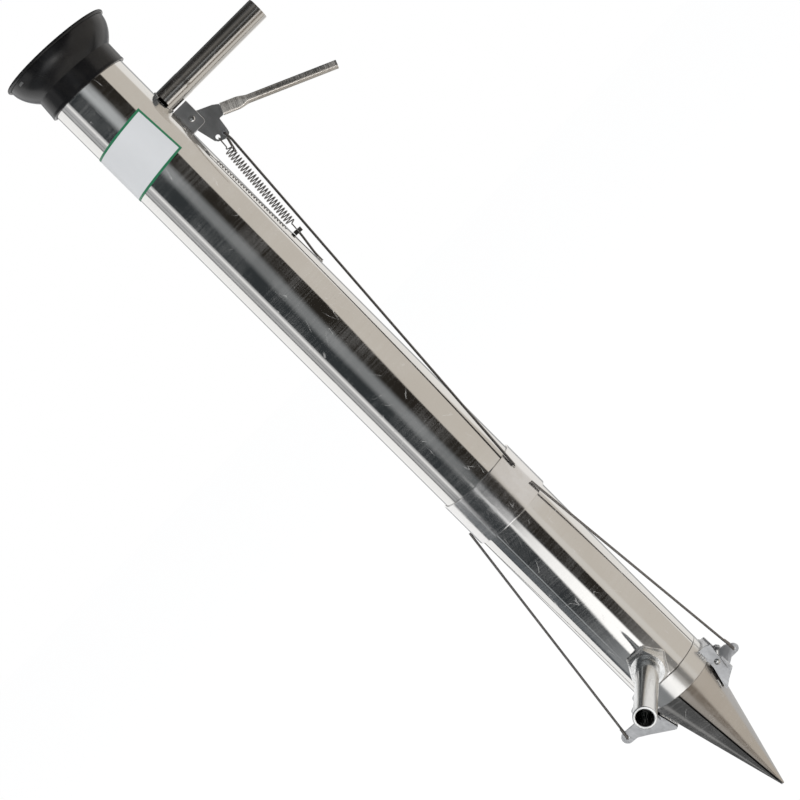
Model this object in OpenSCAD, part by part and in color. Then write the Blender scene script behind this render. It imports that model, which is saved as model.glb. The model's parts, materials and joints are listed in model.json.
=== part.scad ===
// Hand planter for seedlings: a long drop tube with a funnel on top and two hinged jaws below.
// Squeezing the lever under the handle lifts a sleeve, and two links then swing the jaws open.
// Z runs up the tube, the origin is at the tip of the closed jaws, and X points along the handle.
// Azimuths are counted from -Y towards +X, so 0 is the front and 90 is the handle's side.

/* [Drop tube] */
// Outer diameter of the drop tube
tube_od = 76; // [70:0.5:82]
// Wall of the drop tube
tube_wall = 1.2; // [1:0.1:2]
// Length of the drop tube
tube_len = 744; // [700:1:800]
// Width of the open seams between the tube, the collar and the jaws
seam_gap = 0.5; // [0.4:0.1:1]

/* [Funnel] */
// Height of the neck that grips the tube
neck_len = 18.5; // [14:0.5:24]
// How far the neck reaches down past the tube's end
neck_overlap = 11.5; // [8:0.5:13]
// Wall of the neck
neck_wall = 2.2; // [2:0.1:3.5]
// Height of the bowl above the neck
bowl_h = 26.5; // [18:0.5:32]
// Outer radius of the bowl under its lip
bowl_r = 52.7; // [50:0.1:58]
// Wall of the bowl
bowl_wall = 2.4; // [2:0.1:3]
// Thickness of the rolled lip
lip_d = 3.2; // [2.8:0.1:4]
// How far the funnel leans towards the handle on the tube
funnel_lean = 2.9; // [0:0.1:4]
// Azimuth of the small moulding nub on the bowl
nub_azimuth = -50; // [-90:1:0]

/* [Label] */
// Height of the label
label_h = 49; // [30:1:60]
// Distance from the tube's top end to the label's middle
label_drop = 80.5; // [70:0.5:110]
// Azimuth of the label's right edge
label_edge = 30; // [0:1:60]
// Angle that the label covers round the tube
label_wrap = 160; // [90:1:200]
// Tilt of the label
label_tilt = 5.7; // [0:0.1:8]
// Thickness of the label
label_t = 0.25; // [0.15:0.05:0.4]

/* [Handle] */
// Outer diameter of the handle and the foot peg
pipe_od = 21.3; // [19:0.1:24]
// Wall of the handle
handle_wall = 2; // [1.5:0.1:3]
// Distance from the tube's top end down to the handle's axis
handle_drop = 65.3; // [60:0.1:69]
// Distance from the tube's axis to the handle's free end
handle_reach = 156; // [120:1:180]
// Length of the unpolished stretch at the handle's root
handle_root = 26; // [20:1:40]
// Height of the open slot at the handle's root
slot_h = 10.5; // [6:0.5:14]
// Depth of the open slot at the handle's root
slot_w = 2.4; // [1.5:0.1:3]

/* [Lever] */
// Distance from the handle's axis down to the lever's pivot
pivot_drop = 27.5; // [26:0.5:32]
// Distance from the tube to the lever's pivot
pivot_out = 7.7; // [7.5:0.1:9]
// Sheet thickness of the brackets
sheet = 2; // [1.5:0.1:2.5]
// Thickness of the lever plate
plate_t = 3; // [2:0.1:4]
// Height of the lever bracket
bracket_h = 25.5; // [24:0.5:30]
// Diameter of the hook hole for the rod and for the spring
hook_hole_d = 4.4; // [4.2:0.1:5]
// Length of the grip
grip_len = 110; // [80:1:130]
// Outer diameter of the grip
grip_od = 8.2; // [7:0.1:9]
// Wall of the grip
grip_wall = 1; // [0.8:0.1:1.4]
// Angle of the grip below the horizontal
grip_drop = 23.4; // [18:0.1:28]
// Height of the grip's flattened end
flat_h = 11.6; // [11:0.1:13]
// Length of the grip's flattened end
flat_len = 15; // [12:1:20]
// Diameter of the rivets
rivet_d = 4; // [3:0.1:4.5]

/* [Return spring] */
// Wire of the spring
spring_wire = 1.2; // [0.9:0.1:1.4]
// Mean diameter of the coil
spring_d = 8; // [7:0.1:8.6]
// Number of turns
turns = 26; // [18:1:30]
// Length of the coil
coil_len = 84; // [76:1:88]
// Distance from the lever's pivot down to the anchor nut
anchor_drop = 135.7; // [130:0.1:140]
// Size of the anchor nut across its flats
anchor_af = 8; // [7:0.1:8.2]
// Thickness of the anchor nut
anchor_t = 4.2; // [3:0.1:5]
// Diameter of the rod that holds the anchor nut
anchor_rod_d = 2.2; // [1.8:0.1:2.6]

/* [Sleeve and rods] */
// Height of the sliding sleeve
sleeve_len = 46.5; // [35:0.5:60]
// Distance from the tube's lower end up to the sleeve
sleeve_up = 199.5; // [180:0.5:230]
// Wall of the sleeve
sleeve_wall = 1.7; // [1.2:0.1:2.5]
// Clearance of the sleeve round the tube
slide_clear = 0.3; // [0.2:0.05:0.5]
// Diameter of the pull rod and of the links
rod_d = 2.4; // [2:0.1:2.6]
// Azimuth of the pull rod on the sleeve
rod_azimuth = 49; // [45:1:54]
// Azimuth of the right link on the sleeve
link_azimuth = 49.5; // [45:0.5:54]
// Azimuth of the left link on the sleeve
left_link_azimuth = -100; // [-108:1:-92]

/* [Jaws] */
// Length of the jaws
jaw_len = 139.5; // [130:0.5:160]
// How far the jaws' upper edge stands inside the tube's surface
jaw_inset = 1; // [0.6:0.1:1.5]
// Radius of the closed tip
tip_r = 1.5; // [1.2:0.1:2.5]
// Length of the solid tip
tip_len = 6; // [4:0.5:10]
// Wall of the jaws
jaw_wall = 1.5; // [1.2:0.1:2]
// Gap between the closed jaws
split_gap = 0.9; // [0.8:0.05:1.2]
// Azimuth of the split and of the foot peg
split_azimuth = -17.5; // [-25:0.5:-10]

/* [Collar and hinges] */
// Height of the collar
collar_len = 20.5; // [18:0.5:26]
// Wall of the collar
collar_wall = 2.6; // [2.4:0.1:4]
// Length of the spigot inside the tube
spigot_len = 20; // [10:1:30]
// Distance from the jaws' upper edge down to the hinges
hinge_drop = 5; // [4:0.1:6]
// Distance from the tube's surface to the right hinge
hinge_out = 4; // [3.8:0.1:4.5]
// Distance from the tube's surface to the left hinge
left_hinge_out = 14; // [12:0.5:15]
// Half the gap between the ears of a fixed hinge bracket
ear_half = 13; // [12.5:0.1:13.5]
// Distance from the right hinge out to its link hole
lug_out = 12.5; // [11:0.5:14]
// Distance from the right hinge down to its link hole
lug_drop = 8.5; // [7:0.5:10]
// Radius of the right link lug
lug_r = 4.8; // [4:0.1:5.5]
// Distance from the left hinge out to its link hole
left_lug_out = 19.5; // [18:0.5:22]
// Distance from the left hinge down to its link hole
left_lug_drop = 2.5; // [1:0.5:4]
// Radius of the left link lug
left_lug_r = 6; // [5:0.1:6.5]

/* [Foot peg] */
// Distance from the tube's lower end up to the peg's axis
peg_up = 19; // [19:0.5:30]
// Distance from the tube's axis to the peg's free end
peg_reach = 146; // [120:1:160]
// Wall of the peg
peg_wall = 2.6; // [2:0.1:3.2]
// Size of the peg's nut across its flats
nut_af = 32; // [30:0.5:36]
// Distance that the nut stands out of the tube
nut_t = 11; // [9:0.5:14]

/* [Hidden] */
$fn = 96;

// Clearances: fixed seats, pivots in a moving plate, rivets in a bracket, plates side by side
seat = 0.05;
pivot_clear = 0.1;
rivet_clear = 0.05;
side_clear = 0.25;
touch = 0.3;
cut = 1;

tube_r = tube_od / 2;
bore_r = tube_r - tube_wall;
collar_z = jaw_len + seam_gap;
tube_z = collar_z + collar_len + seam_gap;
tube_top = tube_z + tube_len;
neck_z = tube_top - neck_overlap;
bowl_z = neck_z + neck_len;
lean_z = neck_z + neck_overlap / 2;
neck_in = tube_r + 0.1 + neck_overlap / 2 * sin(funnel_lean);
neck_r = neck_in + neck_wall;
rim_z = bowl_z + bowl_h;
// The shoulder's height on the funnel itself, where its lowest side just meets the tube's end
shoulder_z = lean_z + neck_overlap / 2 * cos(funnel_lean) + tube_r * sin(funnel_lean) + seat;
handle_z = tube_top - handle_drop;
pipe_r = pipe_od / 2;

// Lever, in the XZ plane through its pivot
pivot = [tube_r + pivot_out, 0, handle_z - pivot_drop];
slot_half = plate_t / 2 + 0.4;
ear_reach = 7.6;
bracket_top = 15.1;
spring_hole = pivot + [5, 0, -27.2];
rod_hole = pivot + [11.8, 0, -28.7];
grip_root = pivot + [24.4, 0, -12.1];
tang_h = flat_h - 2 * grip_wall - 2.2;
tang_len = flat_len - 3;
flat_t = plate_t + 2 * grip_wall + 0.4;

// Spring axis, from the anchor nut to the hook hole
anchor = [tube_r + anchor_af / 2 + 0.4, 0, pivot[2] - anchor_drop];
spring_run = spring_hole - anchor;
spring_lean = atan2(spring_run[0], spring_run[2]);
spring_r = spring_d / 2;
wire_r = spring_wire / 2;
leg_start = anchor_t / 2 + 0.15;
coil_start = 10.5;
coil_end = coil_start + coil_len;
hook_start = coil_end + 5;
hook_top = norm(spring_run) - hook_hole_d / 2 + wire_r + touch;
hook_y = plate_t / 2 + touch + wire_r;
weld_drop = 34;

// Sleeve, rods and links
sleeve_in = tube_r + slide_clear;
sleeve_r = sleeve_in + sleeve_wall;
sleeve_z = tube_z + sleeve_up;
rod_r = rod_d / 2;
ride_r = sleeve_r + touch + rod_r;
rod_foot_z = sleeve_z + 33.5;
link_top_z = sleeve_z + 12;
rod_y = plate_t / 2 + touch + rod_r;

// Jaws and hinges
jaw_r = tube_r - jaw_inset;
hinge_z = jaw_len - hinge_drop;
hinge_r = tube_r + hinge_out;
left_hinge_r = tube_r + left_hinge_out;
jaw_ear = ear_half - side_clear;
web_low = 30;
web_high = 6.5;
right_turn = split_azimuth;
left_turn = split_azimuth + 180;
peg_z = tube_z + peg_up;
thread_r = pipe_r - 0.6;
peg_shoulder = tube_r + nut_t + 1.5;

function polar(r, azimuth, z) = [r * sin(azimuth), -r * cos(azimuth), z];
// A point of a side's own plane, given as distance from the axis, sideways and up
function on_side(turn, p) =
    [p[0] * cos(turn) - p[1] * sin(turn), p[0] * sin(turn) + p[1] * cos(turn), p[2]];
// Outer radius of the jaws at a height
function cone_r(z) = tip_r + (jaw_r - tip_r) * z / jaw_len;
// Quadratic curve through two ends, pulled towards a middle point
function curve(a, b, c, steps) =
    [for (i = [0:steps]) let (t = i / steps) (1 - t) ^ 2 * a + 2 * t * (1 - t) * b + t ^ 2 * c];
function unit(v) = v / norm(v);
function tangents(p) =
    [for (i = [0:len(p) - 1]) unit(p[min(i + 1, len(p) - 1)] - p[max(i - 1, 0)])];
// Side vectors that follow a route without twisting
function carried(t, s) =
    [for (i = 0, v = unit(s - (s * t[0]) * t[0]); i < len(t); i = i + 1,
        v = i < len(t) ? unit(v - (v * t[i]) * t[i]) : v) v];
// A route with each inner corner rounded to a radius, three or more points to a bend
function rounded(p, r, steps) = [
    p[0],
    for (i = [1:len(p) - 2])
        let (a = unit(p[i - 1] - p[i]), b = unit(p[i + 1] - p[i]),
            half = acos(max(-1, min(1, a * b))) / 2,
            reach = min(r / tan(half), norm(p[i - 1] - p[i]) * 0.49, norm(p[i + 1] - p[i]) * 0.49))
        each curve(p[i] + a * reach, p[i], p[i] + b * reach, steps),
    p[len(p) - 1]];

// One closed tube of round section along a route
module wire(p, d, n) {
    t = tangents(p);
    s = carried(t, abs(t[0][1]) < 0.9 ? [0, 1, 0] : [1, 0, 0]);
    last = len(p) - 1;
    points = [for (i = [0:last]) for (k = [0:n - 1]) let (a = 360 * k / n)
        p[i] + d / 2 * (cos(a) * s[i] + sin(a) * cross(t[i], s[i]))];
    walls = [for (i = [0:last - 1]) for (k = [0:n - 1])
        let (m = (k + 1) % n, a = i * n + k, b = i * n + m)
        each [[a, b + n, b], [a, a + n, b + n]]];
    ends = [for (k = [1:n - 2]) each [[0, k, k + 1], [last * n, last * n + k + 1, last * n + k]]];
    polyhedron(points, concat(walls, ends));
}

// A plate in the XZ plane between two values of Y
module plate(y0, y1, outline) {
    translate([0, y1, 0])
        rotate([90, 0, 0])
            linear_extrude(y1 - y0) polygon(outline);
}

// A cylinder along Y
module bar_y(x, z, y0, y1, r, fn = 48) {
    translate([x, y1, z])
        rotate([90, 0, 0])
            cylinder(h = y1 - y0, r = r, $fn = fn);
}

// A domed rivet along Y with a head at each end
module rivet(x, z, half, r) {
    bar_y(x, z, -half, half, r);
    for (s = [-1, 1])
        translate([x, s * half, z])
            rotate([-90 * s, 0, 0])
                cylinder(h = 1.2, r1 = r * 1.5, r2 = r * 1.05, $fn = 48);
}

module funnel() {
    outer = curve([neck_r - 0.4, bowl_z], [bowl_r, bowl_z + bowl_h * 0.46],
        [bowl_r, rim_z - lip_d * 0.8], 9);
    inner = curve([bore_r - 0.2, bowl_z - 2], [bowl_r - bowl_wall - 0.4, bowl_z + bowl_h * 0.42],
        [bowl_r - bowl_wall, rim_z - lip_d * 0.8], 9);
    color([0.13, 0.13, 0.13])
        translate([0, 0, lean_z]) rotate([0, funnel_lean, 0]) translate([0, 0, -lean_z]) {
        rotate_extrude() {
            polygon(concat(
                [[neck_in, neck_z], [neck_r + 0.4, neck_z], [neck_r, neck_z + 3]],
                outer,
                [for (i = [9:-1:0]) inner[i]],
                [[bore_r - 0.2, shoulder_z], [neck_in, shoulder_z]]));
            translate([bowl_r + 2.3 - lip_d / 2, rim_z - lip_d / 2]) circle(d = lip_d, $fn = 32);
            translate([bowl_r - bowl_wall, rim_z - lip_d])
                square([bowl_wall + 2.3 - lip_d / 2, lip_d]);
        }
        rotate([0, 0, nub_azimuth])
            translate([-3.5, -bowl_r - 0.8, rim_z - lip_d - 4.6]) cube([7, 2, 2.6]);
    }
}

module main_tube() {
    color([0.72, 0.71, 0.69])
        translate([0, 0, tube_z]) difference() {
            cylinder(h = tube_len, r = tube_r);
            translate([0, 0, -cut]) cylinder(h = tube_len + 2 * cut, r = bore_r);
        }
}

module label() {
    label_r = tube_r + seat;
    color([0.84, 0.85, 0.85])
        intersection() {
            rotate([0, 0, label_edge - 90 - label_wrap])
                rotate_extrude(angle = label_wrap)
                    translate([label_r, tube_top - label_drop - label_h])
                        square([label_t, 2 * label_h]);
            translate([0, 0, tube_top - label_drop])
                rotate([0, -label_tilt, 0])
                    cube([4 * tube_r, 4 * tube_r, label_h], center = true);
        }
}

module handle_tube() {
    color([0.62, 0.6, 0.57])
        difference() {
            translate([tube_r - 3, 0, handle_z])
                rotate([0, 90, 0]) {
                    cylinder(h = handle_root + 3, r = pipe_r + 0.2);
                    cylinder(h = handle_reach - tube_r + 3, r = pipe_r);
                }
            translate([tube_r - 3 - cut, 0, handle_z])
                rotate([0, 90, 0])
                    cylinder(h = handle_reach - tube_r + 3 + 2 * cut, r = pipe_r - handle_wall);
            translate([0, 0, handle_z - 2 * pipe_r])
                cylinder(h = 4 * pipe_r, r = tube_r + seat);
            translate([tube_r - 3, -pipe_od, handle_z - slot_h / 2])
                cube([slot_w + 3, 2 * pipe_od, slot_h]);
        }
}

module lever_bracket() {
    low = pivot[2] + bracket_top - bracket_h;
    high = pivot[2] + bracket_top;
    out = pivot[0] + ear_reach;
    ear = [[tube_r - 1, low], [out - 3, low], [out - 0.9, low + 0.9], [out, low + 3],
        [out, high], [tube_r - 1, high]];
    color([0.42, 0.42, 0.41])
        difference() {
            union() {
                for (s = [0, 1])
                    mirror([0, s, 0]) plate(slot_half, slot_half + sheet, ear);
                translate([tube_r - 1, -slot_half - sheet / 2, low])
                    cube([1 + seat + sheet, 2 * slot_half + sheet, bracket_h]);
            }
            translate([0, 0, low - cut]) cylinder(h = bracket_h + 2 * cut, r = tube_r + seat);
            bar_y(pivot[0], pivot[2], -10, 10, rivet_d / 2 + rivet_clear);
        }
}

module lever_rivet() {
    color([0.8, 0.8, 0.79])
        rivet(pivot[0], pivot[2], slot_half + sheet + seat, rivet_d / 2);
}

module lever_plate() {
    tip = grip_root;
    along = [cos(grip_drop), 0, -sin(grip_drop)];
    upright = [sin(grip_drop), 0, cos(grip_drop)];
    a = tip + upright * tang_h / 2;
    b = tip - upright * tang_h / 2;
    c = tip + upright * flat_h * 0.44;
    d = tip - upright * flat_h * 0.44;
    near = pivot - [0, 0, 0];
    outline = [
        near + [-3.5, 0, 4.1], near + [0, 0, 5.3], near + [4.6, 0, 4.4], near + [8.1, 0, 2.4],
        near + [21.3, 0, -3.6], c, a, a + along * tang_len, b + along * tang_len, b, d,
        near + [17.7, 0, -16.6], rod_hole + [4.2, 0, 0.4], rod_hole + [3.4, 0, -2.6],
        rod_hole + [0.8, 0, -4.3], rod_hole + [-3.2, 0, -4.5],
        spring_hole + [-2.4, 0, -3.2], spring_hole + [-4.6, 0, -0.4],
        near + [-3.4, 0, -12], near + [-5.2, 0, -1.5], near + [-4.9, 0, 2]];
    color([0.4, 0.4, 0.39])
        difference() {
            plate(-plate_t / 2, plate_t / 2, [for (p = outline) [p[0], p[2]]]);
            bar_y(pivot[0], pivot[2], -plate_t, plate_t, rivet_d / 2 + pivot_clear);
            bar_y(spring_hole[0], spring_hole[2], -plate_t, plate_t, hook_hole_d / 2);
            bar_y(rod_hole[0], rod_hole[2], -plate_t, plate_t, hook_hole_d / 2);
        }
}

// A flat-sided tube end along X: round top and bottom, straight sides
module stadium(len, h, t) {
    for (s = [-1, 1])
        translate([0, 0, s * (h - t) / 2])
            rotate([0, 90, 0]) cylinder(h = len, d = t, $fn = 32);
    translate([0, -t / 2, -(h - t) / 2]) cube([len, t, h - t]);
}

module lever_grip() {
    neck = flat_len + 11;
    inner_d = grip_od - 2 * grip_wall;
    color([0.55, 0.53, 0.5])
        translate(grip_root)
            rotate([0, grip_drop, 0]) translate([0.3, 0, 0]) difference() {
                union() {
                    stadium(flat_len, flat_h, flat_t);
                    hull() {
                        translate([flat_len - 0.5, 0, 0]) stadium(0.5, flat_h, flat_t);
                        translate([neck, 0, 0])
                            rotate([0, 90, 0]) cylinder(h = 0.5, d = grip_od, $fn = 32);
                    }
                    translate([neck, 0, 0])
                        rotate([0, 90, 0]) cylinder(h = grip_len - neck, d = grip_od, $fn = 48);
                }
                translate([-cut, 0, 0])
                    stadium(flat_len + cut, flat_h - 2 * grip_wall, flat_t - 2 * grip_wall);
                hull() {
                    translate([flat_len - 0.5, 0, 0])
                        stadium(0.5, flat_h - 2 * grip_wall, flat_t - 2 * grip_wall);
                    translate([neck, 0, 0])
                        rotate([0, 90, 0]) cylinder(h = 0.5, d = inner_d, $fn = 32);
                }
                translate([neck, 0, 0])
                    rotate([0, 90, 0]) cylinder(h = grip_len, d = inner_d, $fn = 48);
            }
}

// The rod is hooked through the lever plate from the front, and its short leg hangs behind
rod_route = rounded([
    polar(ride_r, rod_azimuth, rod_foot_z),
    [rod_hole[0] + 0.6, -rod_y, rod_hole[2] - 8],
    [rod_hole[0], -rod_y, rod_hole[2]],
    [rod_hole[0], rod_y, rod_hole[2]],
    [rod_hole[0] - 4.6, rod_y + 2.4, rod_hole[2] - 18.5]], 1.6, 5);

module pull_rod() {
    color([0.5, 0.49, 0.47]) wire(rod_route, rod_d, 12);
}

// Spring routes, in its own frame: the anchor nut's middle is the origin and Z runs up its axis
coil_route = concat(
    [[0, 0, leg_start], [0, 0, leg_start + spring_wire], [0, 0, coil_start - 3.2],
        [0, 0.9, coil_start - 1.8], [1.6, 2.2, coil_start - 0.7]],
    [for (i = [0:turns * 8]) let (a = 45 * i + 30)
        [spring_r * cos(a), spring_r * sin(a), coil_start + coil_len * i / (turns * 8)]],
    [[1.6, 3.0, coil_end + 0.9], [0, 1.4, coil_end + 2.1], [0, 0, coil_end + 3.3],
        [0, 0, hook_start - spring_wire], [0, 0, hook_start]]);
spring_least = min([for (i = [0:len(coil_route) - 7]) for (j = [i + 6:len(coil_route) - 1])
    norm(coil_route[j] - coil_route[i])]) - spring_wire;
echo(least_gap_between_spring_turns = spring_least);

hook_route = rounded([
    [0, 0, hook_start], [0, 0, hook_start + 1.5], [0, hook_y, hook_start + 4.5],
    [0, hook_y, hook_top], [0, -hook_y, hook_top], [0, -hook_y, hook_top - 8]], 0.9, 4);

module on_spring_axis() {
    translate(anchor)
        rotate([0, spring_lean, 0]) children();
}

module return_spring() {
    color([0.55, 0.55, 0.53]) on_spring_axis() wire(coil_route, spring_wire, 6);
}

module spring_hook() {
    color([0.7, 0.7, 0.68]) on_spring_axis() wire(hook_route, spring_wire, 8);
}

module spring_anchor_nut() {
    color([0.2, 0.2, 0.2])
        on_spring_axis() difference() {
            translate([0, 0, -anchor_t / 2])
                rotate([0, 0, 30]) cylinder(h = anchor_t, d = anchor_af / cos(30), $fn = 6);
            translate([0, 0, -anchor_t]) cylinder(h = 2 * anchor_t, d = anchor_rod_d + 2 * seat, $fn = 48);
        }
}

module spring_anchor_rod() {
    foot = [tube_r + seat + anchor_rod_d / 2, 0, anchor[2] - weld_drop];
    axis = [sin(spring_lean), 0, cos(spring_lean)];
    route = rounded([foot, foot + [0, 0, 9], anchor - axis * (anchor_t / 2 + 2.5),
        anchor + axis * anchor_t / 2], 6, 5);
    color([0.45, 0.45, 0.44]) wire(route, anchor_rod_d, 12);
}

module slide_sleeve() {
    color([0.66, 0.65, 0.63])
        translate([0, 0, sleeve_z]) difference() {
            cylinder(h = sleeve_len, r = sleeve_r);
            translate([0, 0, -cut]) cylinder(h = sleeve_len + 2 * cut, r = sleeve_in);
        }
}

// Link route: down from the sleeve, through the lug from its inner side, and a short leg back up
function link_route(azimuth, turn, lug_x, lug_z) = rounded([
    polar(ride_r, azimuth, link_top_z),
    on_side(turn, [lug_x - 0.2, jaw_ear - sheet - touch - rod_r, lug_z + 7]),
    on_side(turn, [lug_x, jaw_ear - sheet - touch - rod_r, lug_z]),
    on_side(turn, [lug_x, jaw_ear + touch + rod_r, lug_z]),
    on_side(turn, [lug_x - 1.6, jaw_ear + touch + rod_r, lug_z + 11])], 1.5, 5);

module link_right() {
    color([0.5, 0.49, 0.47])
        wire(link_route(link_azimuth, right_turn, hinge_r + lug_out, hinge_z - lug_drop), rod_d, 12);
}

module link_left() {
    color([0.5, 0.49, 0.47])
        wire(link_route(left_link_azimuth, left_turn, left_hinge_r + left_lug_out,
            hinge_z - left_lug_drop), rod_d, 12);
}

module lower_collar() {
    spigot_r = bore_r - 0.2;
    color([0.74, 0.73, 0.71])
        translate([0, 0, collar_z]) difference() {
            union() {
                cylinder(h = collar_len, r = tube_r);
                cylinder(h = collar_len + spigot_len, r = spigot_r);
            }
            translate([0, 0, -cut])
                cylinder(h = collar_len + spigot_len + 2 * cut, r = tube_r - collar_wall);
        }
}

// Fixed bracket: a flat web on the collar and two ears that hold the rivet.
// Near and far are the outlines of the ears at the two sides of the jaw's own plane.
module hinge_bracket(turn, x, near, far, near_side) {
    web_z = collar_z + 1;
    color([0.63, 0.63, 0.62])
        rotate([0, 0, turn]) difference() {
            union() {
                mirror([0, near_side > 0 ? 0 : 1, 0]) plate(ear_half, ear_half + sheet, near);
                mirror([0, near_side > 0 ? 1 : 0, 0]) plate(ear_half, ear_half + sheet, far);
                translate([tube_r - 3, -ear_half - sheet / 2, web_z])
                    cube([3 + seat + sheet, 2 * ear_half + sheet, 10.5]);
            }
            translate([0, 0, collar_z]) cylinder(h = 2 * collar_len, r = tube_r + seat);
            bar_y(x, hinge_z, -2 * ear_half, 2 * ear_half, rivet_d / 2 + rivet_clear);
        }
}

function ear_root(top) = [[tube_r - 2.2, hinge_z - 8.9], [tube_r - 2.2, collar_z + 0.6],
    [tube_r - 5, collar_z + 0.6], [tube_r - 5, collar_z + top]];

module hinge_bracket_right() {
    x = hinge_r;
    z = hinge_z;
    near = concat(ear_root(12.7), [[x + 1.6, collar_z + 12.7], [x + 6.3, collar_z + 10.5],
        [x + 5.2, z + 7.5], [x + 2.6, z - 10.5]]);
    far = concat(ear_root(11), [[x - 1, collar_z + 11], [x - 0.5, z + 4.6], [x + 2.2, z + 3.8],
        [x + 4, z + 1.6], [x + 2.6, z - 10.5]]);
    hinge_bracket(right_turn, x, near, far, -1);
}

module hinge_bracket_left() {
    x = left_hinge_r;
    z = hinge_z;
    ear = concat(ear_root(12.7), [[x - 8, collar_z + 12.7], [x - 2, collar_z + 10],
        [x + 2.6, z + 3.4], [x + 4, z], [x + 3.4, z - 9.8], [x - 10, z - 9.8]]);
    hinge_bracket(left_turn, x, ear, ear, 1);
}

module hinge_pin_right() {
    color([0.8, 0.8, 0.79])
        rotate([0, 0, right_turn]) rivet(hinge_r, hinge_z, ear_half + sheet + seat, rivet_d / 2);
}

module hinge_pin_left() {
    color([0.8, 0.8, 0.79])
        rotate([0, 0, left_turn]) rivet(left_hinge_r, hinge_z, ear_half + sheet + seat, rivet_d / 2);
}

// Moving bracket: a web along the cone, two ears on the rivet, and a lug for the link on one of them
module jaw_bracket(turn, x, plain, lugged, lug_x, lug_z, r) {
    low = jaw_len - web_low;
    high = jaw_len - web_high;
    web = [[cone_r(low) + seat, low], [cone_r(high) + seat, high],
        [cone_r(high) + seat + sheet, high], [cone_r(low) + seat + sheet, low]];
    root = [[cone_r(low) + seat, low], [cone_r(high) + seat, high]];
    color([0.5, 0.5, 0.49])
        rotate([0, 0, turn]) difference() {
            union() {
                plate(-jaw_ear, jaw_ear, web);
                plate(-jaw_ear, -jaw_ear + sheet, concat(root, plain));
                plate(jaw_ear - sheet, jaw_ear, concat(root, lugged));
                bar_y(lug_x, lug_z, jaw_ear - sheet, jaw_ear, r);
            }
            bar_y(x, hinge_z, -2 * ear_half, 2 * ear_half, rivet_d / 2 + pivot_clear);
            bar_y(lug_x, lug_z, 0, 2 * ear_half, rod_r + 0.7);
        }
}

module jaw_bracket_right() {
    x = hinge_r;
    z = hinge_z;
    lx = x + lug_out;
    lz = z - lug_drop;
    tip = [[x - 3.7, z - 20.2], [cone_r(jaw_len - web_low) + 1.5, jaw_len - web_low - 1.2]];
    crown = [[x - 3.4, z + 2.2], [x - 1.7, z + 3.7], [x + 1.7, z + 3.7], [x + 3.4, z + 2]];
    plain = concat(crown, [[x + 6.3, z - 0.5], [x + 6.3, z - 13.6]], tip);
    lugged = concat(crown, [[x + 4.2, z - 0.5], [x + 7.8, z - 0.6], [lx + lug_r * 0.45, lz + lug_r * 0.89],
        [lx, lz], [lx + lug_r * 0.1, lz - lug_r * 0.99], [lx - 7, lz - 5.3]], tip);
    jaw_bracket(right_turn, x, plain, lugged, lx, lz, lug_r);
}

module jaw_bracket_left() {
    x = left_hinge_r;
    z = hinge_z;
    lx = x + left_lug_out;
    lz = z - left_lug_drop;
    tip = [[x + 2.2, z - 13.6], [cone_r(jaw_len - web_low) + 2.6, jaw_len - web_low - 1]];
    crown = [[x - 9, z + 1.2], [x - 3, z + 4]];
    plain = concat(crown, [[x + 2, z + 4], [x + 4, z + 1]], tip);
    lugged = concat(crown, [[lx - 2, lz + left_lug_r], [lx, lz + left_lug_r], [lx, lz],
        [lx, lz - left_lug_r], [lx - 7, lz - left_lug_r]], tip);
    jaw_bracket(left_turn, x, plain, lugged, lx, lz, left_lug_r);
}

// Half of a hollow cone on the +X side, standing half the split away from the middle
module half_jaw() {
    inner = jaw_wall / cos(atan2(jaw_r - tip_r, jaw_len));
    difference() {
        rotate_extrude()
            polygon([[0, 0], [tip_r, 0], [jaw_r, jaw_len], [jaw_r - inner, jaw_len],
                [cone_r(tip_len) - inner, tip_len], [0, tip_len]]);
        translate([-3 * jaw_r + split_gap / 2, -2 * jaw_r, -cut])
            cube([3 * jaw_r, 4 * jaw_r, jaw_len + 2 * cut]);
    }
}

module jaw_right() {
    color([0.66, 0.64, 0.61]) rotate([0, 0, right_turn]) half_jaw();
}

module jaw_left() {
    color([0.45, 0.45, 0.45]) rotate([0, 0, left_turn]) half_jaw();
}

// Places a child that points along X at the foot peg's azimuth and height
module at_peg() {
    translate([0, 0, peg_z])
        rotate([0, 0, split_azimuth - 90]) children();
}

module peg_nut() {
    corner_r = nut_af / 2 / cos(30);
    color([0.75, 0.75, 0.73])
        at_peg() difference() {
            intersection() {
                translate([tube_r - 5, 0, 0])
                    rotate([0, 90, 0]) rotate([0, 0, 30]) cylinder(h = nut_t + 5, r = corner_r, $fn = 6);
                translate([tube_r - 5, 0, 0])
                    rotate([0, 90, 0]) cylinder(h = nut_t + 5, r1 = corner_r + 9, r2 = nut_af / 2 - 0.6);
            }
            translate([0, 0, -nut_af]) cylinder(h = 2 * nut_af, r = tube_r + seat);
            translate([tube_r - 6, 0, 0])
                rotate([0, 90, 0]) cylinder(h = nut_t + 10, r = thread_r + seat);
        }
}

module foot_peg() {
    root = tube_r + 1;
    color([0.72, 0.72, 0.7])
        at_peg() difference() {
            rotate([0, 90, 0]) {
                translate([0, 0, root]) cylinder(h = peg_reach - root, r = thread_r);
                translate([0, 0, peg_shoulder]) cylinder(h = peg_reach - peg_shoulder, r = pipe_r);
            }
            translate([root - cut, 0, 0])
                rotate([0, 90, 0]) cylinder(h = peg_reach - root + 2 * cut, r = pipe_r - peg_wall);
        }
}

funnel();
main_tube();
label();
handle_tube();
lever_bracket();
lever_rivet();
lever_plate();
lever_grip();
pull_rod();
return_spring();
spring_hook();
spring_anchor_nut();
spring_anchor_rod();
slide_sleeve();
link_right();
link_left();
lower_collar();
hinge_bracket_right();
hinge_bracket_left();
hinge_pin_right();
hinge_pin_left();
jaw_bracket_right();
jaw_bracket_left();
jaw_right();
jaw_left();
peg_nut();
foot_peg();
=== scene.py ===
import json
from math import cos, radians, sin, sqrt, tan

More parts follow.
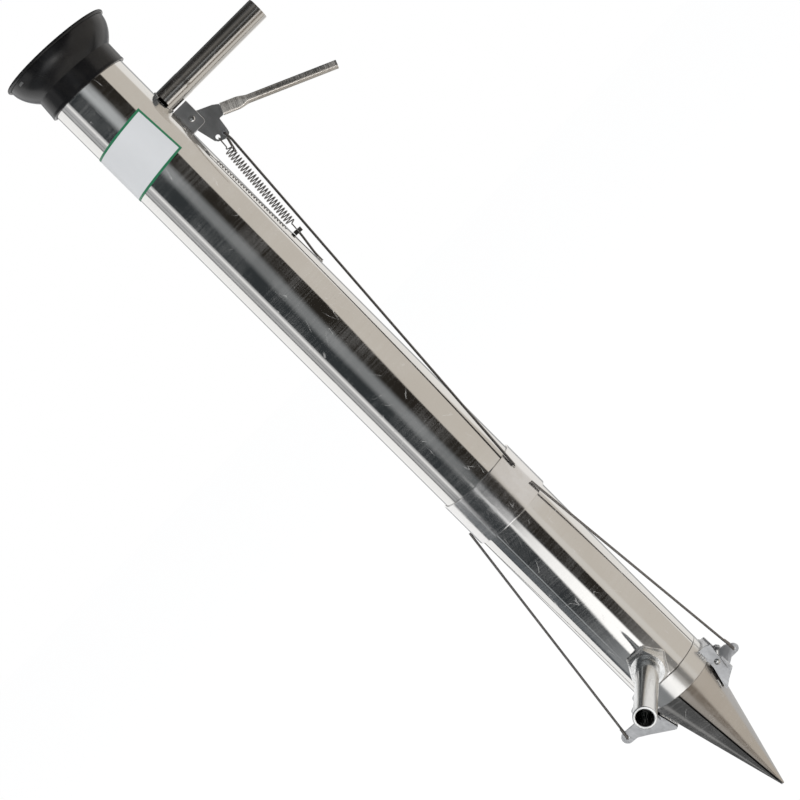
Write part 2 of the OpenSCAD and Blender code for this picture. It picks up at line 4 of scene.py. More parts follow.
import bmesh
import bpy
import numpy as np
from mathutils import Matrix, Vector

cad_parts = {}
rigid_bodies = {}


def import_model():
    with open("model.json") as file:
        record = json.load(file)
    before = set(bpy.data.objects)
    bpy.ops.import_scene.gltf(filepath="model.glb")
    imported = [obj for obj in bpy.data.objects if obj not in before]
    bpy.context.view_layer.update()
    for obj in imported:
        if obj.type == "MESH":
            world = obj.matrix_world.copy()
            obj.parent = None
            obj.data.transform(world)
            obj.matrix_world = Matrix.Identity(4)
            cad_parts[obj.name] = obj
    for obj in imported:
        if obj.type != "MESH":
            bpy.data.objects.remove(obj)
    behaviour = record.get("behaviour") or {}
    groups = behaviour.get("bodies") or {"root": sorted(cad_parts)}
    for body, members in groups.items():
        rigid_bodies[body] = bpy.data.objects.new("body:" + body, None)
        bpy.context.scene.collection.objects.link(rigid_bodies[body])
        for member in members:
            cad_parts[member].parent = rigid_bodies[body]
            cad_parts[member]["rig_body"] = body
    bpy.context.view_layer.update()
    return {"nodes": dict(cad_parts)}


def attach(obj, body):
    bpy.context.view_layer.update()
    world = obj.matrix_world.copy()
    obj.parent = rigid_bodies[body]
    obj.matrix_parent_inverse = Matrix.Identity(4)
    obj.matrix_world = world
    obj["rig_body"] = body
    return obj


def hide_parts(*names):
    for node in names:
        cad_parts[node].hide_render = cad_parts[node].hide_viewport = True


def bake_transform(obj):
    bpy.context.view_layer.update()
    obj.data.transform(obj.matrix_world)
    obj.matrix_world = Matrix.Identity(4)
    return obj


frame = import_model()
nodes = frame["nodes"]
scene = bpy.context.scene
print("frame loaded:", len(nodes), "nodes")

mm = 0.001
up = np.array([0.0, 0.0, 1.0])

# sizes that several pieces share, in millimetres and degrees

tube = {"outer": 38, "inner": 36.8, "low": 161, "high": 905, "edge": 0.3}
sides = {"right": -17.5, "left": 162.5}
supportGap = 0.6  # how far the extra points of a turned profile lie from its corners

# shapes


def unit(v):
    return v / np.linalg.norm(v, axis=-1, keepdims=True)


def roundCorners(points, radius, steps=4, closed=True):
    # each corner becomes a quadratic curve that starts and ends radius away from it
    p = np.asarray(points, float)
    before, after = np.roll(p, 1, 0), np.roll(p, -1, 0)
    if not closed:
        p, before, after, ends = p[1:-1], before[1:-1], after[1:-1], (p[:1], p[-1:])
    toBefore, toAfter = before - p, after - p
    reachA = np.minimum(radius, 0.48 * np.linalg.norm(toBefore, axis=1))[:, None, None]
    reachB = np.minimum(radius, 0.48 * np.linalg.norm(toAfter, axis=1))[:, None, None]
    t = np.linspace(0, 1, steps)[None, :, None]
    a = p[:, None] + unit(toBefore)[:, None] * reachA
    b = p[:, None] + unit(toAfter)[:, None] * reachB
    bent = ((1 - t) ** 2 * a + 2 * t * (1 - t) * p[:, None] + t**2 * b).reshape(-1, p.shape[1])
    return bent if closed else np.concatenate([ends[0], bent, ends[1]])


def runLength(points):
    # how far along a route each of its points lies
    return np.concatenate([[0], np.cumsum(np.linalg.norm(np.diff(points, axis=0), axis=1))])


def resample(path, spacing):
    # the same route with points at even distances along it, besides its own
    p = np.asarray(path, float)
    s = runLength(p)
    even = np.unique(np.concatenate([np.linspace(0, s[-1], max(8, int(s[-1] / spacing))), s]))
    return np.stack([np.interp(even, s, p[:, k]) for k in range(3)], 1)


def smooth(t):
    # a soft step from 0 to 1
    return t * t * (3 - 2 * t)


def linkNew(name, data):
    made = bpy.data.objects.new(name, data)
    scene.collection.objects.link(made)
    return made


def smoothObject(name, mesh, sharp):
    # smooth, but sharp along the edges where two faces meet at more than the angle
    mesh.polygons.foreach_set("use_smooth", np.ones(len(mesh.polygons), bool))
    mesh.set_sharp_from_angle(angle=radians(sharp))
    return linkNew(name, mesh)


def addObject(name, verts, faces, body, replaced=(), sharp=35, material=None):
    mesh = bpy.data.meshes.new(name)
    mesh.from_pydata(np.asarray(verts, float).reshape(-1, 3).tolist(), [], faces)
    mesh.update()
    piece = smoothObject(name, mesh, sharp)
    if body:
        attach(piece, body)
    if replaced:
        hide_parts(*replaced)
    if material:
        mesh.materials.append(materials[material])
    return piece


def paintFaces(piece, material, chosen):
    # the chosen faces get the piece's second material
    piece.data.materials.append(materials[material])
    piece.data.polygons.foreach_set("material_index", chosen.astype(np.int32))


def gridFaces(rows, columns, closeRows=False, closeColumns=True):
    # quads between neighbours of a rows by columns grid of points
    lastRow, lastColumn = rows if closeRows else rows - 1, columns if closeColumns else columns - 1
    i, j = np.meshgrid(np.arange(lastRow), np.arange(lastColumn), indexing="ij")
    i2, j2 = (i + 1) % rows, (j + 1) % columns
    quad = np.stack([i * columns + j, i * columns + j2, i2 * columns + j2, i2 * columns + j], -1)
    return quad.reshape(-1, 4).tolist()


def endFaces(rows, around):
    # the first and the last ring of a grid, one face each
    last = (rows - 1) * around
    return [list(range(around))[::-1], [last + k for k in range(around)]]


def supported(profile, gap):
    # a closed profile with two more points on each long side, near its ends,
    # so that the shading of its round edges stays at the edges
    p = np.asarray(profile, float)
    q = np.roll(p, -1, 0)
    length = np.linalg.norm(q - p, axis=1)
    share = np.minimum(gap / length, 0.5)[:, None]
    both = np.stack([p, p + (q - p) * share, q - (q - p) * share], 1).reshape(-1, 2)
    keep = np.stack([length >= 0, length > 3 * gap, length > 3 * gap], 1).ravel()
    return both[keep]


def turned(profile, count, origin=(0, 0, 0), axis=(0, 0, 1), side=(1, 0, 0)):
    # a closed profile of (radius, height) carried once round an axis: radius along a turning arm
    axis, side = unit(np.asarray(axis, float)), unit(np.asarray(side, float))
    other = np.cross(axis, side)
    angle = np.linspace(0, 2 * np.pi, count, endpoint=False)
    arm = np.cos(angle)[:, None] * side + np.sin(angle)[:, None] * other
    p = np.asarray(profile, float)
    points = np.asarray(origin, float) + arm[None] * p[:, 0, None, None] + axis * p[:, 1, None, None]
    return points, gridFaces(len(p), count, closeRows=True)


def pipeProfile(s):
    # the four corners of a pipe's wall, each slightly rounded, counted so that faces look outwards
    inner, outer, low, high = (s[key] for key in ("inner", "outer", "low", "high"))
    return roundCorners([(inner, low), (outer, low), (outer, high), (inner, high)], s["edge"])


def swept(path, radius, around, sideways):
    # a ring of the given radius round each point of a route, square to it; sideways is never along it
    p = np.asarray(path, float)
    t = unit(np.gradient(p, axis=0))
    ref = np.broadcast_to(np.asarray(sideways, float), p.shape)
    s = unit(ref - (ref * t).sum(1, keepdims=True) * t)
    b = np.cross(t, s)
    a = np.linspace(0, 2 * np.pi, around, endpoint=False)
    r = np.broadcast_to(np.asarray(radius, float), len(p))[:, None, None]
    ring = np.cos(a)[None, :, None] * s[:, None] + np.sin(a)[None, :, None] * b[:, None]
    points = p[:, None] + r * ring
    return points, gridFaces(len(p), around) + endFaces(len(p), around)


def polar(r, azimuth, z):
    # the point at a distance from the tube's axis, at an azimuth that counts from the camera's side
    a = radians(azimuth)
    return np.array([r * sin(a), -r * cos(a), z])


def sideFrame(turn):
    # the directions outwards and across of a jaw's side, turned about the tube's axis
    a = radians(turn)
    return np.array([cos(a), sin(a), 0.0]), np.array([-sin(a), cos(a), 0.0])


def onSide(turn, r, h, z):
    # the point r outwards and h across in that frame
    out, across = sideFrame(turn)
    return out * r + across * h + up * z


def bevel(piece, width, angle):
    mod = piece.modifiers.new("edges", "BEVEL")
    mod.width = width * mm
    mod.segments = 2
    mod.limit_method = "ANGLE"
    mod.angle_limit = radians(angle)
    mod.harden_normals = True
    return piece


# shader groups


def newGroup(name, inputs, outputs):
    # the inputs come with their values; every output but Normal is a number
    tree = bpy.data.node_groups.new(name, "ShaderNodeTree")
    for label, value in inputs:
        kind = "NodeSocketVector" if isinstance(value, tuple) else "NodeSocketFloat"
        tree.interface.new_socket(label, in_out="INPUT", socket_type=kind).default_value = value
    for label in outputs:
        kind = "NodeSocketVector" if label == "Normal" else "NodeSocketFloat"
        tree.interface.new_socket(label, in_out="OUTPUT", socket_type=kind)
    return tree, tree.nodes.new("NodeGroupInput").outputs, tree.nodes.new("NodeGroupOutput")


def feed(tree, node, values):
    # each named input gets a link or a plain value
    for label, value in values.items():
        if isinstance(value, bpy.types.NodeSocket):
            tree.links.new(value, node.inputs[label])
        else:
            node.inputs[label].default_value = value
    return node


def newNode(tree, kind, values={}):
    return feed(tree, tree.nodes.new("ShaderNode" + kind), values)


def mathNode(tree, operation, a, b=None, c=None, clamp=False):
    node = newNode(tree, "Math")
    node.operation = operation
    node.use_clamp = clamp
    for socket, value in zip(node.inputs, (a, b, c)):
        if value is None:
            continue
        if isinstance(value, (int, float)):
            socket.default_value = value
        else:
            tree.links.new(value, socket)
    return node.outputs[0]


def rampNode(tree, value, stops):
    node = newNode(tree, "ValToRGB")
    ramp = node.color_ramp
    while len(ramp.elements) < len(stops):
        ramp.elements.new(0.5)
    for element, (place, grey) in zip(ramp.elements, stops):
        element.position = place
        element.color = (grey, grey, grey, 1)
    tree.links.new(value, node.inputs[0])
    return node.outputs[0]


def noiseNode(tree, at, cells, scale=1.0, detail=2.0, roughness=0.5, distortion=0.0, turn=(0, 0, 0)):
    # noise with that many cells in a metre along X, Y and Z, times the scale
    place = newNode(tree, "Mapping", {"Vector": at, "Scale": cells, "Rotation": turn})
    values = {"Vector": place.outputs[0], "Scale": scale, "Detail": detail, "Roughness": roughness,
              "Distortion": distortion}
    return newNode(tree, "TexNoise", values).outputs["Fac"]


def bumpNode(tree, height, depth, distance):
    values = {"Height": height, "Strength": depth, "Distance": distance}
    return newNode(tree, "Bump", values).outputs[0]


def objectCoords(tree, turn=None):
    # the piece's own coordinates, turned so that Z runs along it
    place = newNode(tree, "TexCoord").outputs["Object"]
    if turn is None:
        return place
    node = newNode(tree, "Mapping")
    node.vector_type = "TEXTURE"
    return feed(tree, node, {"Vector": place, "Rotation": turn}).outputs[0]


grainLook = {
    # noise cells in a metre along X, Y and Z; then pairs of a noise value and what the mask is there
    "rings": (14, 14, 1500), "patches": (30, 30, 22), "drift": (30, 30, 15), "breaks": (75, 75, 60),
    "haze": [(0.2, 0.0), (0.42, 1.0)], "line": [(0.0, 1.0), (0.007, 0.0)],
    "stroke": [(0.56, 0.0), (0.64, 1.0)], "patchBase": 0.35, "bumpHeight": 0.00003,
}
wearLook = {
    "cloud": (16, 16, 7), "smear": (60, 60, 30), "smearTurn": (0.3, 0.2, 0), "speck": (420, 420, 420),
    "smearMask": [(0.45, 0.0), (0.75, 1.0)], "speckMask": [(0.68, 0.0), (0.78, 1.0)],
}
peelHeight = 0.0001


def makeRolledGrain(look):
    # fine lines round the tube, broken up along their length, with a few long drawn scratches
    inputs = [("Lines", 1.0), ("Scratches", 1.0), ("Depth", 1.0), ("Turn", (0, 0, 0))]
    tree, given, out = newGroup("rolledGrain", inputs, ["Grain", "Haze", "Scratch", "Normal"])
    at = objectCoords(tree, given["Turn"])
    rings = noiseNode(tree, at, look["rings"], 1.0, 3.0, 0.65)
    patches = noiseNode(tree, at, look["patches"])
    grain = mathNode(tree, "MULTIPLY", mathNode(tree, "SUBTRACT", rings, 0.5), given["Lines"])
    grain = mathNode(tree, "MULTIPLY", grain, mathNode(tree, "ADD", patches, look["patchBase"]))
    haze = rampNode(tree, mathNode(tree, "MULTIPLY", rings, patches), look["haze"])
    # a hairline lies where a slow noise passes its middle value; a second noise breaks it into strokes
    drift = noiseNode(tree, at, look["drift"], distortion=1.4)
    fromMiddle = mathNode(tree, "ABSOLUTE", mathNode(tree, "SUBTRACT", drift, 0.5))
    line = rampNode(tree, fromMiddle, look["line"])
    stroke = rampNode(tree, noiseNode(tree, at, look["breaks"]), look["stroke"])
    scratch = mathNode(tree, "MULTIPLY", mathNode(tree, "MULTIPLY", line, stroke), given["Scratches"])
    bump = bumpNode(tree, mathNode(tree, "ADD", grain, scratch), given["Depth"], look["bumpHeight"])
    feed(tree, out, {"Grain": grain, "Haze": haze, "Scratch": scratch, "Normal": bump})
    return tree


def makeHandled(look):
    # soft clouds of handling, darker smears and small specks of dirt
    inputs = [("Scale", 1.0), ("Turn", (0, 0, 0))]
    tree, given, out = newGroup("handledMetal", inputs, ["Cloud", "Smear", "Speck"])
    at, scale = objectCoords(tree, given["Turn"]), given["Scale"]
    cloud = noiseNode(tree, at, look["cloud"], scale, 4.0, 0.55)
    smear = noiseNode(tree, at, look["smear"], scale, 5.0, 0.65, 1.2, look["smearTurn"])
    speck = noiseNode(tree, at, look["speck"], scale)
    feed(tree, out, {"Cloud": cloud, "Smear": rampNode(tree, smear, look["smearMask"]),
                     "Speck": rampNode(tree, speck, look["speckMask"])})
    return tree


def makePitted():
    # shallow orange peel of moulded plastic or galvanised steel
    tree, given, out = newGroup("pittedSkin", [("Scale", 900.0), ("Depth", 0.2)], ["Mask", "Normal"])
    peel = noiseNode(tree, objectCoords(tree), (1, 1, 1), given["Scale"], roughness=0.6)
    feed(tree, out, {"Mask": peel, "Normal": bumpNode(tree, peel, given["Depth"], peelHeight)})
    return tree


groups = {"grain": makeRolledGrain(grainLook), "wear": makeHandled(wearLook), "pits": makePitted()}
print("shader groups made")


def startMaterial(name):
    mat = bpy.data.materials.new(name)
    mat.use_nodes = True
    tree = mat.node_tree
    return mat, tree, tree.nodes["Principled BSDF"]


def useGroup(tree, key, **values):
    node = newNode(tree, "Group")
    node.node_tree = groups[key]
    return feed(tree, node, values).outputs


def mixColour(tree, mask, a, b):
    node = newNode(tree, "Mix")
    node.data_type = "RGBA"
    a, b = (v + (1,) if isinstance(v, tuple) else v for v in (a, b))
    return feed(tree, node, {"Factor": mask, "A": a, "B": b}).outputs["Result"]


# roughness that grain, scratches and smears add, how far a scratch hides the metal, the specks' colour
steelLook = {"grain": 0.16, "scratch": 0.22, "smear": 0.8, "cover": 0.4, "dirt": (0.2, 0.19, 0.18)}


def sheetMetal(name, pale, deep, rough, spread, lines, scratches, depth, scale, specks, turn=(0, 0, 0),
               dust=0.07):
    # steel: two tones mixed by clouds, roughness from clouds, grain and smears, normals from the grain
    mat, tree, shader = startMaterial(name)
    turn = [radians(v) for v in turn]
    grain = useGroup(tree, "grain", Lines=lines, Scratches=scratches, Depth=depth, Turn=turn)
    wear = useGroup(tree, "wear", Scale=scale, Turn=turn)
    tone = mixColour(tree, wear["Cloud"], pale, deep)
    tone = mixColour(tree, mathNode(tree, "MULTIPLY", wear["Speck"], specks), tone, steelLook["dirt"])
    level = mathNode(tree, "MULTIPLY_ADD", wear["Cloud"], spread, rough - spread * 0.5)
    level = mathNode(tree, "MULTIPLY_ADD", grain["Grain"], steelLook["grain"], level)
    level = mathNode(tree, "MULTIPLY_ADD", grain["Scratch"], steelLook["scratch"], level)
    smeared, covered = spread * steelLook["smear"], -steelLook["cover"]
    level = mathNode(tree, "MULTIPLY_ADD", wear["Smear"], smeared, level, clamp=True)
    bare = mathNode(tree, "MULTIPLY_ADD", grain["Haze"], -dust, 1.0)
    bare = mathNode(tree, "MULTIPLY_ADD", grain["Scratch"], covered, bare, clamp=True)
    feed(tree, shader, {"Base Color": tone, "Roughness": level, "Metallic": bare, "Normal": grain["Normal"]})
    return mat


byZ, byX, byPeg, byGrip = (0, 0, 0), (0, 90, 0), (90, 0, sides["right"]), (0, 113.4, 0)
finishTable = {
    # pale and deep tone; roughness, its spread; lines, scratches, depth; cloud scale; specks; turn; dust
    "tube": ((0.81, 0.8, 0.78), (0.75, 0.74, 0.72), 0.07, 0.04, 0.9, 0.8, 0.16, 1, 0.15, byZ, 0.09),
    "collar": ((0.82, 0.81, 0.79), (0.76, 0.75, 0.73), 0.19, 0.08, 0.7, 0.4, 0.14, 1, 0.15),
    "sleeve": ((0.88, 0.87, 0.86), (0.76, 0.75, 0.74), 0.13, 0.1, 0.8, 0.5, 0.26, 2.4, 0.4, byZ, 0.08),
    "jawRight": ((0.72, 0.69, 0.65), (0.6, 0.57, 0.53), 0.2, 0.1, 0.6, 0.6, 0.3, 1.4, 0.05, byZ, 0.12),
    "jawLeft": ((0.68, 0.67, 0.65), (0.54, 0.53, 0.52), 0.16, 0.08, 0.6, 0.7, 0.3, 1.4, 0.05, byZ, 0.16),
    "handle": ((0.78, 0.76, 0.73), (0.68, 0.66, 0.63), 0.16, 0.05, 0.2, 0.4, 0.08, 1.3, 0, byX, 0.05),
    "grip": ((0.7, 0.67, 0.62), (0.56, 0.53, 0.49), 0.28, 0.07, 0.2, 0.3, 0.08, 1.3, 0, byGrip, 0.55),
    "plate": ((0.62, 0.62, 0.61), (0.3, 0.3, 0.31), 0.34, 0.16, 0.2, 0.4, 0.3, 7, 0.3, byZ, 0.3),
    "bracket": ((0.72, 0.73, 0.74), (0.48, 0.49, 0.51), 0.3, 0.14, 0.2, 0.3, 0.3, 6, 0.3, byZ, 0.2),
    # rim: the pale, barely metallic finish of the eased edges, a painted highlight along them
    "rim": ((0.9, 0.9, 0.89), (0.8, 0.8, 0.8), 0.34, 0.1, 0.1, 0, 0.1, 3, 0.1, byZ, 0.9),
    "zinc": ((0.84, 0.84, 0.83), (0.7, 0.71, 0.71), 0.19, 0.1, 0.3, 0.3, 0.2, 2.5, 0.2, byPeg),
    "zincNut": ((0.94, 0.94, 0.93), (0.8, 0.81, 0.81), 0.24, 0.12, 0.2, 0.2, 0.3, 5, 0.2, byPeg, 0.4),
    "wire": ((0.3, 0.29, 0.28), (0.2, 0.19, 0.19), 0.34, 0.08, 0, 0, 0, 0.5, 0),
    "springWire": ((0.44, 0.43, 0.42), (0.3, 0.29, 0.29), 0.26, 0.08, 0, 0, 0, 0.5, 0),
    "bead": ((0.9, 0.89, 0.87), (0.7, 0.69, 0.67), 0.28, 0.16, 0, 0, 0.3, 6, 0.3, byZ, 0.7),
}
materials = {key: sheetMetal("steel_" + key, *row) for key, row in finishTable.items()}
# painted shade in the gap between the two jaws: how fast its mask falls off, the mask's stops and the dark
# tone
splitShade = {"perMetre": 500.0, "mask": [(0.28, 1.0), (0.62, 0.0)], "tone": (0.02, 0.018, 0.016)}


def addSplitShade(mat, turn, look):
    # painted shade along the parting line: a mask from the distance to the plane in which the two jaws meet
    # darkens the jaws next to it
    tree = mat.node_tree
    shader = tree.nodes["Principled BSDF"]
    across = newNode(tree, "VectorMath")
    across.operation = "DOT_PRODUCT"
    tree.links.new(objectCoords(tree), across.inputs[0])
    across.inputs[1].default_value = (cos(radians(turn)), sin(radians(turn)), 0)
    distance = mathNode(tree, "ABSOLUTE", across.outputs["Value"])
    edge = rampNode(tree, mathNode(tree, "MULTIPLY", distance, look["perMetre"]), look["mask"])
    base = shader.inputs["Base Color"].links[0].from_socket
    feed(tree, shader, {"Base Color": mixColour(tree, edge, base, look["tone"])})


for key in ("jawRight", "jawLeft"):
    addSplitShade(materials[key], sides["right"], splitShade)


def dullMaterial(name, scale, mask, dark, worn, rough, spread, pits=None, roughByPits=False, others={}):
    # plastic, scale or blackened steel: two tones mixed by a mask of the wear,
    # roughness from its clouds or from the pits, normals from the pits where there are any
    mat, tree, shader = startMaterial(name)
    wear = useGroup(tree, "wear", Scale=scale)
    source = wear["Cloud"]
    if pits:
        skin = useGroup(tree, "pits", Scale=pits[0], Depth=pits[1])
        feed(tree, shader, {"Normal": skin["Normal"]})
        source = skin["Mask"] if roughByPits else source
    level = mathNode(tree, "MULTIPLY_ADD", source, spread, rough)
    tone = mixColour(tree, wear[mask], dark, worn)
    feed(tree, shader, {"Base Color": tone, "Roughness": level, **others})
    return mat


labelLook = {"film": (0.62, 0.63, 0.64), "shade": (0.56, 0.57, 0.58), "frame": (0.014, 0.155, 0.07),
             "rough": 0.34, "spread": 0.12, "wearScale": 2, "fibres": 2200, "fibreDepth": 0.05}


def makeLabelPaper(size, look):
    # the UV map holds millimetres from the label's lower left corner: a green frame on pale grey film
    mat, tree, shader = startMaterial("bareLabel")
    uv = newNode(tree, "UVMap")
    uv.uv_map = "labelPlace"
    split = newNode(tree, "SeparateXYZ")
    tree.links.new(uv.outputs[0], split.inputs[0])
    x, y = split.outputs[0], split.outputs[1]
    across = mathNode(tree, "MINIMUM", x, mathNode(tree, "SUBTRACT", size["width"], x))
    along = mathNode(tree, "MINIMUM", y, mathNode(tree, "SUBTRACT", size["height"], y))
    border = mathNode(tree, "LESS_THAN", mathNode(tree, "MINIMUM", across, along), size["border"])
    fibre = useGroup(tree, "pits", Scale=look["fibres"], Depth=look["fibreDepth"])
    cloud = useGroup(tree, "wear", Scale=look["wearScale"])["Cloud"]
    tone = mixColour(tree, border, mixColour(tree, cloud, look["film"], look["shade"]), look["frame"])
    level = mathNode(tree, "MULTIPLY_ADD", cloud, look["spread"], look["rough"])
    feed(tree, shader, {"Base Color": tone, "Roughness": level, "Normal": fibre["Normal"]})
    return mat


dullTable = {
    # name; wear scale and mask; dark and worn tone; roughness, its spread; pits in a metre, their depth
    # bore: near black on the inside of the handle, and painted shade on the faces in the seam between collar
    # and jaws
    "bore": ("darkBoreAndSeamShade", 2, "Cloud", (0.018, 0.017, 0.016), (0.04, 0.036, 0.032), 0.6, 0.2),
    # nub: a real mould nub whose pale grey, far lighter than the funnel, is a painted highlight
    "nub": ("paleNubHighlight", 8, "Cloud", (0.05, 0.05, 0.05), (0.12, 0.12, 0.12), 0.5, 0),
    "funnel": ("blackFunnel", 1.6, "Smear", (0.0055, 0.0055, 0.006), (0.012, 0.0115, 0.011), 0.2, 0.12,
               (1400, 0.25), False, {"Specular IOR Level": 0.4}),
    "blackNut": ("blackenedNut", 5, "Cloud", (0.05, 0.05, 0.05), (0.1, 0.1, 0.1), 0.35, 0.2,
                 (1600, 0.3), True, {"Metallic": 0.8}),
}
materials.update({key: dullMaterial(*row) for key, row in dullTable.items()})
print("materials made:", len(materials))


def turnedPiece(name, profile, body, material, replaced=(), slot="brushed_steel", **place):
    # a closed profile of (radius, height) carried round the axis that place gives
    place = {k: (np.asarray(v) * mm if k == "origin" else v) for k, v in place.items()}
    verts, faces = turned(supported(profile, supportGap) * mm, **place)
    return addObject(name, verts, faces, body, replaced, material=material)


def sweptPiece(name, path, radius, body, material, sideways, replaced, around=16):
    # a round wire along a route
    verts, faces = swept(np.asarray(path) * mm, np.asarray(radius) * mm, around, sideways)
    return addObject(name, verts, faces, body, replaced, material=material)


# tube, collar, sleeve

collar = {"low": 140, "high": 160.5, "inner": 35.4, "spigot": 36.6, "spigotTop": 180.5, "edge": 0.3}
sleeve = {"inner": 38.3, "outer": 40, "low": 360.5, "high": 407, "edge": 0.35}
seam = {"height": 0.13975, "reach": 0.0006, "facing": 0.8}

turnedPiece("tubeSkin", pipeProfile(tube), "planter", "tube", ["main_tube"], "polished_steel",
            count=256)
turnedPiece("sleeveSkin", pipeProfile(sleeve), "sleeve", "sleeve", ["slide_sleeve"], count=256)
collarShape = roundCorners([
    (collar["inner"], collar["low"]), (tube["outer"], collar["low"]), (tube["outer"], collar["high"]),
    (collar["spigot"], collar["high"]), (collar["spigot"], collar["spigotTop"]),
    (collar["inner"], collar["spigotTop"])], collar["edge"])


def shadeSeam(piece, side):
    # painted shade in the seam between collar and jaws: faces that look into it get the dark bore material;
    # side 1 looks up, -1 down
    looks = np.array([face.normal.z for face in piece.data.polygons])
    height = np.array([face.center.z for face in piece.data.polygons])
    near = np.abs(height - seam["height"]) < seam["reach"]
    paintFaces(piece, "bore", (looks * side > seam["facing"]) & near)


collarSkin = turnedPiece("collarSkin", collarShape, "planter", "collar", ["lower_collar"],
                         "polished_steel", count=256)
# painted shade on the collar's faces that look down into the seam
shadeSeam(collarSkin, -1)
print("tube, collar and sleeve made")

# funnel

funnel = {
    "neckLow": 893.5, "neckHigh": 912, "neckRadius": 40.59, "neckInner": 38.39, "taper": 0.4,
    "bore": 36.6, "shoulder": 906.965, "lean": 2.9, "leanAbout": 899.25,
    "bowlRadius": 52.7, "bowlWall": 2.4, "bowlBend": 11.7, "bowlTop": 2.7, "bendInside": 10.7,
    "topInside": 2.2, "rim": 938.5, "lip": 3.2, "lipReach": 55, "lipTurn": (-75, 150),
}
nub = {"azimuth": -50, "width": 7, "height": 2.6, "z": 932, "lift": 0.75, "sunk": 0.25, "seat": 0.35}
lean = radians(funnel["lean"])
funnelAxis = np.array([sin(lean), 0, cos(lean)])
funnelSide = np.array([cos(lean), 0, -sin(lean)])
funnelOrigin = (up - funnelAxis) * funnel["leanAbout"]


def curveThrough(a, b, c, steps):
    # quadratic curve from a to c that leans towards b
    t = np.linspace(0, 1, steps)[:, None]
    return (1 - t) ** 2 * np.array(a) + 2 * t * (1 - t) * np.array(b) + t**2 * np.array(c)


def funnelProfile(f):
    # neck, bowl and rolled lip outside, then back down inside to the shoulder that sits on the tube
    lipMiddle = (f["lipReach"] - f["lip"] / 2, f["rim"] - f["lip"] / 2)
    turn = np.radians(np.linspace(*f["lipTurn"], 26))[:, None]
    lip = np.array(lipMiddle) + f["lip"] / 2 * np.concatenate([np.cos(turn), np.sin(turn)], 1)
    bowlInner = f["bowlRadius"] - f["bowlWall"]
    outer = curveThrough((f["neckRadius"] - f["taper"], f["neckHigh"]),
                         (f["bowlRadius"], f["neckHigh"] + f["bowlBend"]),
                         (f["bowlRadius"], f["rim"] - f["bowlTop"]), 40)
    inner = curveThrough((f["bore"], f["neckHigh"] - 2),
                         (bowlInner - f["taper"], f["neckHigh"] + f["bendInside"]),
                         (bowlInner, f["rim"] - f["topInside"]), 40)
    neck = roundCorners([(f["neckInner"], f["neckLow"]), (f["neckRadius"] + f["taper"], f["neckLow"]),
                         (f["neckRadius"], f["neckLow"] + 3)], 0.6, 5, closed=False)
    shoulder = np.array([(f["bore"], f["shoulder"]), (f["neckInner"], f["shoulder"])])
    return np.concatenate([neck, outer, lip, inner[::-1], shoulder])


turnedPiece("funnelBody", funnelProfile(funnel), "planter", "funnel", ["funnel"], "black_plastic",
            count=224, origin=funnelOrigin, axis=funnelAxis, side=funnelSide)


def makeNub(f):
    # a low cushion on the bowl: its height over the bowl falls off towards its edges
    n, m = 15, 9
    across = np.linspace(-1, 1, n)[:, None] * np.ones((1, m))
    along = np.ones((n, 1)) * np.linspace(-1, 1, m)[None]
    lift = f["lift"] * (1 - across**6) * (1 - along**4) - f["sunk"]
    z = f["z"] + along * f["height"] / 2
    r = funnel["bowlRadius"] - f["seat"] + lift
    angle = np.radians(f["azimuth"]) + across * f["width"] / 2 / funnel["bowlRadius"]
    basis = np.stack([funnelSide, [0, 1.0, 0], funnelAxis])
    verts = (funnelOrigin + np.stack([r * np.sin(angle), -r * np.cos(angle), z], -1) @ basis) * mm
    faces = gridFaces(n, m, closeColumns=False)
    # the nub's pale grey is a painted highlight on it
    return addObject("funnelNub", verts, faces, "planter", material="nub")


makeNub(nub)
print("funnel made")

# label

label = {"radius": 38.3, "middle": 821.9, "height": 50.4, "right": 31.2, "skew": 4.75, "wrap": 160,
         "tilt": 5.7, "border": 2.2, "thick": 0.2}


def makeLabel(f):
    # a strip of the tube's surface between two tilted planes; its two skins and edges are one closed grid
    n, m = 120, 24
    share = np.linspace(-0.5, 0.5, m)
    wrap = f["wrap"] * np.linspace(1, 0, n)[:, None]
    azimuth = np.radians(f["right"] - wrap - f["skew"] * share[None])
    x = f["radius"] * np.sin(azimuth)
    tilt = radians(f["tilt"])
    z = f["middle"] + x * tan(tilt) + share[None] * f["height"] / cos(tilt)
    skin = np.stack([x, -f["radius"] * np.cos(azimuth), z], -1)
    shrink = np.array([(f["radius"] - f["thick"]) / f["radius"]] * 2 + [1.0])
    verts = np.concatenate([skin, (skin * shrink)[:, ::-1]], 1) * mm
    count = 2 * m
    faces = gridFaces(n, count)
    edge = [[k, k + 1, count - 2 - k, count - 1 - k] for k in range(m - 1)]
    faces += [face[::-1] for face in edge] + [[(n - 1) * count + i for i in face] for face in edge]
    piece = addObject("labelFilm", verts, faces, "planter", ["label"])
    width = radians(f["wrap"]) * f["radius"]
    u = np.linspace(0, width, n)[:, None] * np.ones((1, count))
    v = np.concatenate([share + 0.5, (share + 0.5)[::-1]])[None] * f["height"] * np.ones((n, 1))
    place = np.stack([u, v], -1).reshape(-1, 2)
    layer = piece.data.uv_layers.new(name="labelPlace")
    corner = np.zeros(len(piece.data.loops), int)
    piece.data.loops.foreach_get("vertex_index", corner)
    layer.data.foreach_set("uv", place[corner].ravel())
    size = {"width": width, "height": f["height"], "border": f["border"]}
    piece.data.materials.append(makeLabelPaper(size, labelLook))


makeLabel(label)
print("label made")

# handle and foot peg

handle = {
    "z": 839.7, "radius": 10.65, "wall": 2, "end": 156, "lipEdge": 0.25, "seatGap": 0.06,
    "slotHeight": 10.5, "slotEnd": 39.5, "slotFade": 9,
    "swell": 0.2, "swellShare": 0.22, "swellFade": 900,
}
peg = {"z": 180, "radius": 10.65, "inner": 8.05, "screwed": 10.05, "end": 146, "root": 39,
       "shoulder": 50.5, "slant": 1.2, "edge": 0.5}


